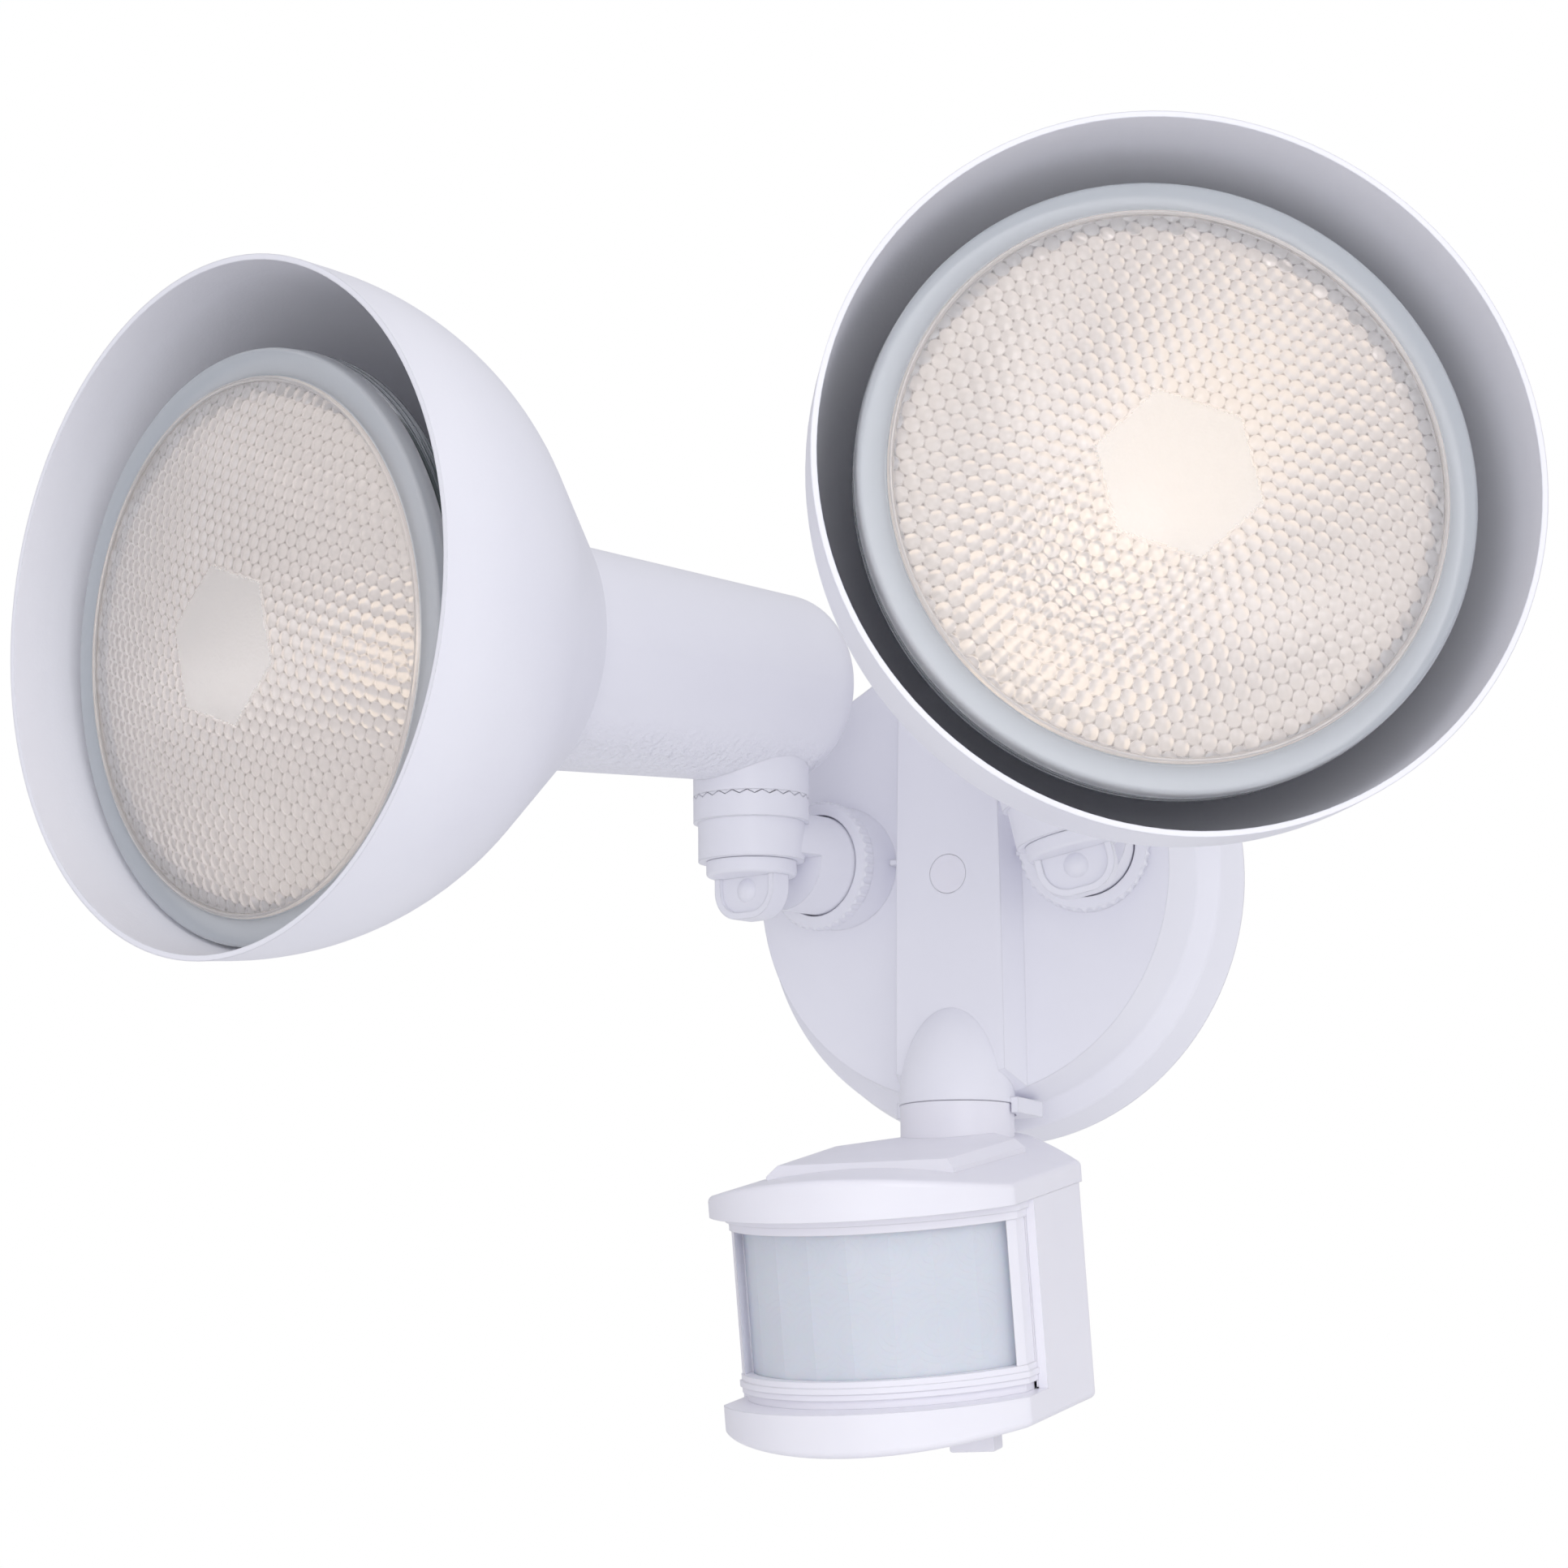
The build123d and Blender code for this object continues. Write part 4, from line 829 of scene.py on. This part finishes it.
# --------------------------------------------------------------------------- lamp
@dataclass(frozen=True)
class LensShape:
    """Front glass of a reflector lamp: flat ring, fine ridge, shallow dome of hexagonal pillows."""

    grain_deg: float
    seam_mm: float = 124.6
    thick_mm: float = 3.0
    edge_r_mm: float = 60.3
    edge_round_mm: float = 0.9
    ring_h_mm: float = 2.2
    ridge_r_mm: float = 54.6
    ridge_w_mm: float = 1.1
    ridge_h_mm: float = 0.9
    face_h_mm: float = 2.4
    face_r_mm: float = 53.6
    wall_mm: float = 0.6
    crown_mm: float = 134.9
    pitch_mm: float = 3.15
    pillow_mm: float = 0.6
    fade_mm: float = 0.4
    patch_r_mm: float = 17.0
    patch_sunk_mm: float = 0.1
    back_bevel_mm: float = 1.2
    groove_w_mm: float = 0.5
    groove_h_mm: float = 0.4
    core_r_mm: float = 0.4
    around: int = 840
    rings: int = 134
    inner_rings: int = 14
    corner_steps: int = 5
    ridge_steps: int = 6

    def dome(self, r: Any, edge_r: float, edge_z: float, crown_z: float) -> Any:
        """Height of a shallow dome.

        Args:
            r: Distance from the axis.
            edge_r: Radius of its edge.
            edge_z: Height of its edge.
            crown_z: Height of its crown.

        Returns:
            Height at that distance.
        """
        rise = crown_z - edge_z
        big = (edge_r**2 + rise**2) / (2 * rise)
        return crown_z - big + np.sqrt(big**2 - r**2)

    def along_grain(self, x: Any, y: Any) -> tuple[Any, Any]:
        """Turn points into the axes of the pressed pattern.

        Args:
            x: Points' first coordinate.
            y: Points' second coordinate.

        Returns:
            Both coordinates, turned.
        """
        a = math.radians(self.grain_deg)
        return x * math.cos(a) + y * math.sin(a), y * math.cos(a) - x * math.sin(a)

    def pillows(self, x: Any, y: Any) -> Any:
        """Height of the hexagonal pillows, from 0 on the seams to 1 in the middles.

        Args:
            x: Points' first coordinate.
            y: Points' second coordinate.

        Returns:
            Height of each point.
        """
        x, y = self.along_grain(x, y)
        wide, tall = self.pitch_mm, self.pitch_mm * math.sqrt(3)
        near = []
        for dx, dy in ((0.0, 0.0), (wide / 2, tall / 2)):
            a = (x + dx + wide / 2) % wide - wide / 2
            b = (y + dy + tall / 2) % tall - tall / 2
            near.append(a**2 + b**2)
        far = (self.pitch_mm / math.sqrt(3)) ** 2
        return 1 - np.minimum(*near) / far

    def in_patch(self, x: Any, y: Any) -> Any:
        """Tell which points lie in the frosted hexagon in the middle.

        Args:
            x: Points' first coordinate.
            y: Points' second coordinate.

        Returns:
            True for each point inside.
        """
        x, y = self.along_grain(x, y)
        flat = self.patch_r_mm * math.sqrt(3) / 2
        inside = np.ones_like(x, bool)
        for side in range(3):
            a = math.radians(60 * side + 30)
            inside &= np.abs(x * math.cos(a) + y * math.sin(a)) < flat
        return inside

    def rim(self) -> list[tuple[float, float]]:
        """Draw the outline from the glass's back edge over the flat ring and the ridge.

        Returns:
            Radius and height of each point.
        """
        back, ring = self.seam_mm - self.thick_mm, self.seam_mm + self.ring_h_mm
        edge = [
            (self.face_r_mm - self.wall_mm, back),
            (self.edge_r_mm - self.back_bevel_mm, back),
            (self.edge_r_mm, back + self.back_bevel_mm),
        ]
        corner = []
        for step in range(self.corner_steps + 1):
            a = math.radians(90 / self.corner_steps * step)
            inset = self.edge_round_mm * (1 - math.cos(a))
            drop = self.edge_round_mm * (1 - math.sin(a))
            corner.append((self.edge_r_mm - inset, ring - drop))
        groove = [(self.ridge_r_mm + self.groove_w_mm, ring),
                  (self.ridge_r_mm + self.groove_w_mm / 2, ring - self.groove_h_mm)]
        ridge = []
        for step in range(self.ridge_steps + 1):
            a = math.radians(180 / self.ridge_steps * step)
            middle = self.ridge_r_mm - self.ridge_w_mm / 2
            wide = self.ridge_w_mm / 2 * math.cos(a)
            ridge.append((middle + wide, ring + self.ridge_h_mm * math.sin(a)))
        return edge + corner + groove + ridge

    def build(self, name: str, place: Matrix) -> bpy.types.Object:
        """Make the glass as one closed skin.

        Args:
            name: Name of the piece.
            place: The lamp's frame.

        Returns:
            The piece: slot 0 is clear glass, slot 1 the frosted middle, slot 2 the flat ring and
            slot 3 the silvered wall behind the dome's edge.
        """
        face = self.seam_mm + self.face_h_mm
        inner_r = self.face_r_mm - self.wall_mm
        dome_r = np.linspace(inner_r, self.core_r_mm, self.inner_rings)
        inside = [(r, self.dome(r, inner_r, face - self.thick_mm, self.crown_mm - self.thick_mm))
                  for r in dome_r[::-1]]
        rim = self.rim()
        front_r = np.linspace(self.face_r_mm, self.core_r_mm, self.rings)
        front = [(r, self.dome(r, self.face_r_mm, face, self.crown_mm)) for r in front_r]
        profile = np.array(inside + rim + front)
        turn = np.linspace(0, math.tau, self.around, endpoint=False)
        x = profile[:, :1] * np.cos(turn)
        y = profile[:, :1] * np.sin(turn)
        z = np.repeat(profile[:, 1:], self.around, axis=1)
        first = len(inside) + len(rim)
        fade = np.clip((self.face_r_mm - profile[first:, :1]) / self.fade_mm, 0, 1)
        lift = self.pillows(x[first:], y[first:]) * self.pillow_mm * fade
        frosted = self.in_patch(x[first:], y[first:])
        z[first:] += np.where(frosted, -self.patch_sunk_mm, lift - self.pillow_mm * fade)
        points = np.stack([x, y, z], axis=-1).reshape(-1, 3)
        numbers = np.zeros((len(profile) - 1, self.around), int)
        numbers[len(inside) - 1] = 3
        numbers[first:][frosted[:-1]] = 1
        outer = np.arange(len(profile) - 1) >= len(inside)
        numbers[(profile[:-1, 0] > self.ridge_r_mm) & outer] = 2
        piece = mesh_piece(name, points, self.skin(len(profile)), place)
        piece.data.polygons.foreach_set("material_index", numbers.reshape(-1).tolist() + [0, 1])
        # Relief for the glass's painted seam shade: 0 on the seams, 1 in the pillows' middles and on
        # the plain parts.
        relief = np.ones_like(z)
        relief[first:] = np.where(frosted, 1.0, 1 - fade + lift / self.pillow_mm)
        shown = piece.data.attributes.new(RELIEF, "FLOAT", "POINT")
        shown.data.foreach_set("value", relief.reshape(-1).tolist())
        return piece

    def skin(self, count: int) -> list[list[int]]:
        """Join the turned rows of points into faces.

        Args:
            count: Number of rows.

        Returns:
            The faces: the rows' quads, then the caps at both ends.
        """
        n = self.around
        i = np.arange(count - 1)[:, None] * n
        j = np.arange(n)[None, :]
        k = (j + 1) % n
        quads = np.stack([i + j, i + k, i + n + k, i + n + j], axis=-1).reshape(-1, 4)
        last = (count - 1) * n
        return quads.tolist() + [list(range(n))[::-1], list(range(last, last + n))]


@dataclass(frozen=True)
class ReflectorShape:
    """Silvered glass body: paraboloid bowl, neck with a floor, and the ridged seam at its rim."""

    rim_z_mm: float = 121.55
    band_h_mm: float = 4.0
    band_r_mm: float = 58.8
    ridge_mm: float = 0.9
    ridges: int = 3
    bowl_r_mm: float = 53.0
    back_r_mm: float = 57.0
    neck_r_mm: float = 17.0
    neck_low_mm: float = 40.1
    neck_high_mm: float = 71.5
    wall_mm: float = 2.0
    floor_mm: float = 65.5
    core_r_mm: float = 0.4
    ridge_shares: tuple[float, float, float] = (0.3, 0.7, 0.95)
    steps: int = 28
    around: int = 192

    def bowl(
        self, low_r: float, low_z: float, high_r: float, high_z: float
    ) -> list[tuple[float, float]]:
        """Give points of a paraboloid from its neck to its rim.

        Args:
            low_r: Radius at the neck.
            low_z: Height at the neck.
            high_r: Radius at the rim.
            high_z: Height at the rim.

        Returns:
            Radius and height of each point.
        """
        radii = np.linspace(low_r, high_r, self.steps)
        share = (radii**2 - low_r**2) / (high_r**2 - low_r**2)
        return list(zip(radii.tolist(), (low_z + share * (high_z - low_z)).tolist()))

    def build(self, name: str, place: Matrix) -> bpy.types.Object:
        """Make the body as one closed skin.

        Args:
            name: Name of the piece.
            place: The lamp's frame.

        Returns:
            The piece: slot 0 is the mirror, slot 1 the back, painted darker as shade, and slot 2 the
                seam.
        """
        inner = self.neck_r_mm - self.wall_mm
        band_z = self.rim_z_mm - self.band_h_mm
        rows: list[Point] = [(self.core_r_mm, self.floor_mm, 0), (inner, self.floor_mm, 0)]
        bowl = self.bowl(inner, self.neck_high_mm + self.wall_mm / 2, self.bowl_r_mm, self.rim_z_mm)
        rows += [(r, z, 0) for r, z in bowl]
        rows.append((self.band_r_mm, self.rim_z_mm, 2))
        pitch = self.band_h_mm / self.ridges
        rises, falls, ends = self.ridge_shares
        for ridge in range(self.ridges):
            top = self.rim_z_mm - pitch * ridge
            rows += [(self.band_r_mm + self.ridge_mm, top - pitch * rises, 2),
                     (self.band_r_mm + self.ridge_mm, top - pitch * falls, 2),
                     (self.band_r_mm, top - pitch * ends, 2)]
        back = self.bowl(self.neck_r_mm, self.neck_high_mm, self.back_r_mm, band_z)
        rows += [(r, z, 1) for r, z in back[::-1]]
        rows += [(self.neck_r_mm, self.neck_low_mm, 1), (self.core_r_mm, self.neck_low_mm, 1)]
        return turned_piece(name, rows, place, self.around)


@dataclass
class LampHead:
    """One lamp: its added pieces ride the head, and the lamp rides its socket."""

    side: Side
    pose: Pose
    works: Workshop
    lens: LensShape
    reflector: ReflectorShape = field(default_factory=ReflectorShape)
    teeth: int = 24
    tooth_mm: float = 0.8
    tooth_side_gap_mm: float = 0.14
    tooth_tip_gap_mm: float = 0.03
    teeth_inner_r_mm: float = 9.6
    teeth_inset_mm: float = 0.02
    knuckle_r_mm: float = 12.4
    knuckle_top_mm: float = 12.5
    seat_mm: float = 0.1

    def build(self) -> None:
        """Make every added piece of this lamp."""
        self.glass()
        self.mirror()
        self.stem_teeth()

    def glass(self) -> None:
        """Make the dimpled front glass in place of the plain one."""
        node = f"{self.side.value}_lamp_lens"
        piece = self.lens.build(f"{self.side.value}_dimpled_lens", self.pose.lamp())
        for finish in (PressedGlass(), StippledGlass(), FlangeGlass(), Silvering()):
            piece.data.materials.append(self.works.material(finish))
        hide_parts(node)
        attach(piece, f"{self.side.value}_lamp_body")

    def mirror(self) -> None:
        """Make the silvered body with its seam in place of the plain one."""
        piece = self.reflector.build(f"{self.side.value}_silvered_body", self.pose.lamp())
        for finish in (Silvering(), ShadedReflectorBack(), SeamGlass()):
            piece.data.materials.append(self.works.material(finish))
        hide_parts(f"{self.side.value}_lamp_reflector")
        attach(piece, f"{self.side.value}_lamp_body")

    def stem_teeth(self) -> None:
        """Make the stem's teeth, which sit in the notches of the arm's knuckle."""
        root = self.knuckle_top_mm + self.seat_mm
        tip = root - self.tooth_mm + self.tooth_tip_gap_mm
        half = math.pi * self.knuckle_r_mm / self.teeth - self.tooth_side_gap_mm
        inner, outer = self.teeth_inner_r_mm, self.knuckle_r_mm - self.teeth_inset_mm
        points: list[Point] = []
        faces: list[list[int]] = []
        for i in range(self.teeth):
            a = math.tau * i / self.teeth
            along, side = (math.cos(a), math.sin(a)), (-math.sin(a), math.cos(a))
            b = len(points)
            for r, w in ((inner, half * inner / outer), (outer, half)):
                for s, h in ((-w, root), (0.0, tip), (w, root)):
                    points.append((r * along[0] + s * side[0], h, r * along[1] + s * side[1]))
            faces += [[b, b + 1, b + 2], [b + 5, b + 4, b + 3], [b, b + 3, b + 4, b + 1],
                      [b + 1, b + 4, b + 5, b + 2], [b + 2, b + 5, b + 3, b]]
        name = f"{self.side.value}_stem_teeth"
        piece = mesh_piece(name, points, faces, self.pose.arm(), smooth=False)
        piece.data.materials.append(self.works.material(FINISHES[Slot.ENAMEL]))
        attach(piece, f"{self.side.value}_head_body")


# --------------------------------------------------------------------------- sensor
@dataclass(frozen=True)
class SensorSheet:
    """Lens sheet behind the sensor's window, in faint upright facets, and the frame's side trim.

    A flatness of 1 gives flat facets and 0 gives a smooth arc.
    """

    works: Workshop
    origin_mm: Point = (0.0, -27.5, -57.0)
    pan_deg: float = 4.8
    pitch_deg: float = 11.0
    half_mm: float = 29.05
    corner_mm: float = 54.6
    crest_mm: float = 72.45
    start_mm: float = 52.2
    low_mm: float = -43.3
    high_mm: float = -9.5
    thick_mm: float = 0.8
    tongue_x_mm: tuple[float, float] = (31.12, 31.38)
    tongue_y_mm: tuple[float, float] = (46.5, 50.6)
    tongue_z_mm: tuple[float, float] = (-46.6, -8.6)
    facets: int = 8
    flatness: float = 0.55
    steps: int = 6
    rows: int = 12

    def place(self) -> Matrix:
        """Make the sensor's frame.

        Returns:
            The frame's matrix: X across to the viewer's left, Y ahead, Z up its face.
        """
        pan, pitch = math.radians(self.pan_deg), math.radians(self.pitch_deg)
        across = Vector((math.cos(pan), math.sin(pan), 0))
        level = Vector((math.sin(pan), -math.cos(pan), 0))
        ahead = level * math.cos(pitch) - Vector((0, 0, 1)) * math.sin(pitch)
        return frame_matrix(Vector(self.origin_mm) * MM, -across, ahead.cross(across))

    def plan(self, inset: float) -> list[tuple[float, float, float]]:
        """Give the sheet's plan line from one side edge to the other.

        Args:
            inset: How far inside the sheet's outer face the line runs.

        Returns:
            Across, ahead and the way along the outer face, for each corner of the line.
        """
        half, rise = self.half_mm, self.crest_mm - self.corner_mm
        radius = (half**2 + rise**2) / (2 * rise)
        middle = self.crest_mm - radius
        widest = math.asin(half / radius) if rise < radius else math.pi - math.asin(half / radius)
        line = [(half - inset, self.start_mm, -radius * widest - (self.corner_mm - self.start_mm))]
        share = widest / self.facets
        for step in range(self.facets * self.steps + 1):
            a = widest * (2 * step / (self.facets * self.steps) - 1)
            off = (step % self.steps) / self.steps * 2 * share - share
            chord = radius * math.cos(share) / math.cos(off)
            r = radius + (chord - radius) * self.flatness - inset
            line.append((-r * math.sin(a), middle + r * math.cos(a), radius * a))
        line.append((inset - half, self.start_mm, radius * widest + self.corner_mm - self.start_mm))
        return line

    def build(self) -> None:
        """Make the sheet in place of the plain one."""
        outer, inner = self.plan(0.0), self.plan(self.thick_mm)
        loop = outer + inner[::-1]
        heights = np.linspace(self.low_mm, self.high_mm, self.rows)
        points = [(x, y, z) for z in heights for x, y, _ in loop]
        n = len(loop)
        faces = [[r * n + i, r * n + (i + 1) % n, (r + 1) * n + (i + 1) % n, (r + 1) * n + i]
                 for r in range(self.rows - 1) for i in range(n)]
        last = (self.rows - 1) * n
        for i in range(len(outer) - 1):
            low = [i, n - 1 - i, n - 2 - i, i + 1]
            faces += [low, [last + corner for corner in low[::-1]]]
        piece = mesh_piece("faceted_lens_sheet", points, faces, self.place(), smooth=False)
        flat = piece.data.uv_layers.new(name="millimetres_across").data
        for spot, loop_corner in zip(flat, piece.data.loops):
            row, column = divmod(loop_corner.vertex_index, n)
            spot.uv = (loop[column][2] * MM, heights[row] * MM)
        piece.data.materials.append(self.works.material(MilkySheet()))
        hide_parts("fresnel_lens")
        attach(piece, "sensor_body")
        self.tongues()

    def tongues(self) -> None:
        """Make two thin trim strips that hide the open joint beside the lens frame."""
        near, far = self.tongue_x_mm
        back, front = self.tongue_y_mm
        low, high = self.tongue_z_mm
        points: list[Point] = []
        faces: list[list[int]] = []
        for hand in (-1, 1):
            base = len(points)
            shoulder = back + far - near
            plan = [(near, shoulder), ((near + far) / 2, back), (far, shoulder), (far, front),
                    (near, front)]
            if hand > 0:
                plan.reverse()
            points += [(hand * x, y, z) for z in (low, high) for x, y in plan]
            n = len(plan)
            faces += [[base + i, base + (i + 1) % n, base + n + (i + 1) % n, base + n + i]
                      for i in range(n)]
            faces += [[base + i for i in range(n)][::-1], [base + n + i for i in range(n)]]
        piece = mesh_piece("frame_tongues", points, faces, self.place(), smooth=False)
        piece.data.materials.append(self.works.material(FINISHES[Slot.PLASTIC]))
        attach(piece, "sensor_body")


# --------------------------------------------------------------------------- studio
@dataclass(frozen=True)
class Softbox:
    """A soft rectangular lamp of the studio."""

    name: str
    place_m: Point
    aim_m: Point
    size_m: tuple[float, float]
    watts: float
    tone: str

    def build(self) -> None:
        """Make the lamp."""
        data = bpy.data.lights.new(self.name, "AREA")
        data.shape = "RECTANGLE"
        data.size, data.size_y = self.size_m
        data.energy = self.watts
        data.color = linear(self.tone)[:3]
        lamp = bpy.data.objects.new(self.name, data)
        lamp.location = self.place_m
        aim = Vector(self.aim_m) - Vector(self.place_m)
        lamp.rotation_euler = aim.to_track_quat("-Z", "Y").to_euler()
        bpy.context.scene.collection.objects.link(lamp)


@dataclass(frozen=True)
class PaperFloor:
    """Matt white paper sweep: the camera and mirrors see it paler than it lights the piece."""

    name: str = "matt_white_paper"
    light: str = "#F6F6F8"
    shade: str = "#F1F1F4"
    lift: float = 0.6
    cloud_mm: float = 40.0
    roughness: float = 0.8

    def material(self) -> bpy.types.Material:
        """Build the material.

        Returns:
            The finished material.
        """
        t = ShaderTree(self.name)
        cloud = t.noise(self.cloud_mm)
        paper = t.add("BsdfPrincipled", {
            "Base Color": t.blend(cloud, linear(self.light), linear(self.shade)),
            "Roughness": self.roughness,
        })
        white = t.add("Emission", {"Color": linear("#FFFFFF"), "Strength": 1.0})
        path = t.add("LightPath", {}).outputs
        rays = {0: path["Is Camera Ray"], 1: path["Is Glossy Ray"]}
        seen = t.add("Math", rays, operation="MAXIMUM")
        share = t.add("Math", {0: seen.outputs[0], 1: self.lift}, operation="MULTIPLY")
        both = t.add("MixShader", {0: share.outputs[0], 1: paper.outputs[0], 2: white.outputs[0]})
        return t.finish(both.outputs[0])


@dataclass(frozen=True)
class Studio:
    """White surroundings, a pale floor far below and soft light from the front."""

    light: str = "#F0F0F6"
    level: float = 0.83
    lean: Point = (0.16, -0.14, -0.02)
    floor_z_m: float = -0.7
    floor_m: float = 6.0
    boxes: tuple[Softbox, ...] = (
        Softbox("key_softbox", (1.5, -1.9, 0.5), (0.0, -0.08, 0.0), (1.4, 1.4), 11.5, "#FFFFFF"),
        Softbox("low_softbox", (0.4, -1.8, -0.6), (0.0, -0.08, -0.05), (1.0, 0.8), 3.0, "#FFFFFF"),
    )

    def build(self, works: Workshop) -> None:
        """Make the world, the floor and the lamps.

        Args:
            works: Where the floor's material is made.
        """
        self.world()
        half = self.floor_m / 2
        z = self.floor_z_m
        corners = [(-half, -half, z), (half, -half, z), (half, half, z), (-half, half, z)]
        floor = mesh_piece("studio_floor", np.array(corners) / MM, [[0, 1, 2, 3]], Matrix())
        floor.data.materials.append(works.material(PaperFloor()))
        for box in self.boxes:
            box.build()

    def world(self) -> None:
        """Make the surroundings: plain white behind the light, a soft uneven tone for shading."""
        world = bpy.data.worlds.new("studio_surroundings")
        world.use_nodes = True
        bpy.context.scene.world = world
        tree = world.node_tree
        tree.nodes.clear()
        way = add_node(tree, "TexCoord", {}).outputs["Generated"]
        uneven = add_node(tree, "VectorMath", {0: way, 1: self.lean}, operation="DOT_PRODUCT")
        strength = add_node(tree, "Math", {0: uneven.outputs["Value"], 1: self.level})
        soft = add_node(tree, "Background", {
            "Color": linear(self.light), "Strength": strength.outputs[0],
        })
        white = add_node(tree, "Background", {"Color": linear("#FFFFFF")})
        seen = add_node(tree, "LightPath", {}).outputs["Is Camera Ray"]
        mix = add_node(tree, "MixShader", {0: seen, 1: soft.outputs[0], 2: white.outputs[0]})
        add_node(tree, "OutputWorld", {"Surface": mix.outputs[0]})


@dataclass(frozen=True)
class Viewpoint:
    """The photograph's camera, as fitted to the lamp's known size."""

    place_mm: Point = (537.6, -1207.5, -181.5)
    right: Point = (0.8974, 0.4411, -0.0077)
    up: Point = (0.0746, -0.1347, 0.9881)
    lens_mm: float = 139.75
    sensor_mm: float = 36.0
    near_m: float = 0.05
    far_m: float = 20.0

    def build(self) -> None:
        """Make the camera."""
        data = bpy.data.cameras.new("photo_camera")
        data.lens = self.lens_mm
        data.sensor_width = self.sensor_mm
        data.clip_start, data.clip_end = self.near_m, self.far_m
        camera = bpy.data.objects.new("photo_camera", data)
        right, up = Vector(self.right).normalized(), Vector(self.up).normalized()
        back = right.cross(up).normalized()
        turn = Matrix((right, back.cross(right), back)).transposed().to_4x4()
        turn.translation = Vector(self.place_mm) * MM
        camera.matrix_world = turn
        bpy.context.scene.collection.objects.link(camera)
        bpy.context.scene.camera = camera


def paint_nodes(frame: Mapping[str, Any], works: Workshop) -> None:
    """Give each CAD node the finish of its material slot.

    Args:
        works: Where materials are made.
    """
    for row in frame["record"]["subparts"]:
        node = frame["nodes"][row["node"]]
        slot = Slot(row["material_slot"])
        node.data.materials.clear()
        finish = NODE_FINISHES.get(row["node"], FINISHES[slot])
        node.data.materials.append(works.material(finish))
        LOG.info("node %s takes %s", row["node"], slot.value)


def render_settings() -> None:
    """Set the bounces that the glass needs and the plain view."""
    scene = bpy.context.scene
    scene.view_settings.view_transform = "Standard"
    scene.cycles.max_bounces = 16
    scene.cycles.diffuse_bounces = 10
    scene.cycles.transmission_bounces = 12
    scene.cycles.glossy_bounces = 8


def corners(low: Iterable[float], high: Iterable[float]) -> list[list[float]]:
    """Turn a box into plain lists.

    Args:
        low: Lowest corner.
        high: Highest corner.

    Returns:
        Both corners.
    """
    return [list(low), list(high)]


def main() -> None:
    """Build the whole scene."""
    logging.basicConfig(level=logging.INFO, format="%(message)s")
    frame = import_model()
    works = Workshop()
    paint_nodes(frame, works)
    poses = {
        Side.LEFT: Pose(-1, 0.0, -6.0, 3.5, -24.0),
        Side.RIGHT: Pose(1, -13.2, 21.4, 0.0, 0.0),
    }
    grain = {Side.LEFT: 40.0, Side.RIGHT: 30.0}
    for side, pose in poses.items():
        LampHead(side, pose, works, LensShape(grain[side])).build()
    SensorSheet(works).build()
    Studio().build(works)
    Viewpoint().build()
    render_settings()


if __name__ == "__main__":
    main()
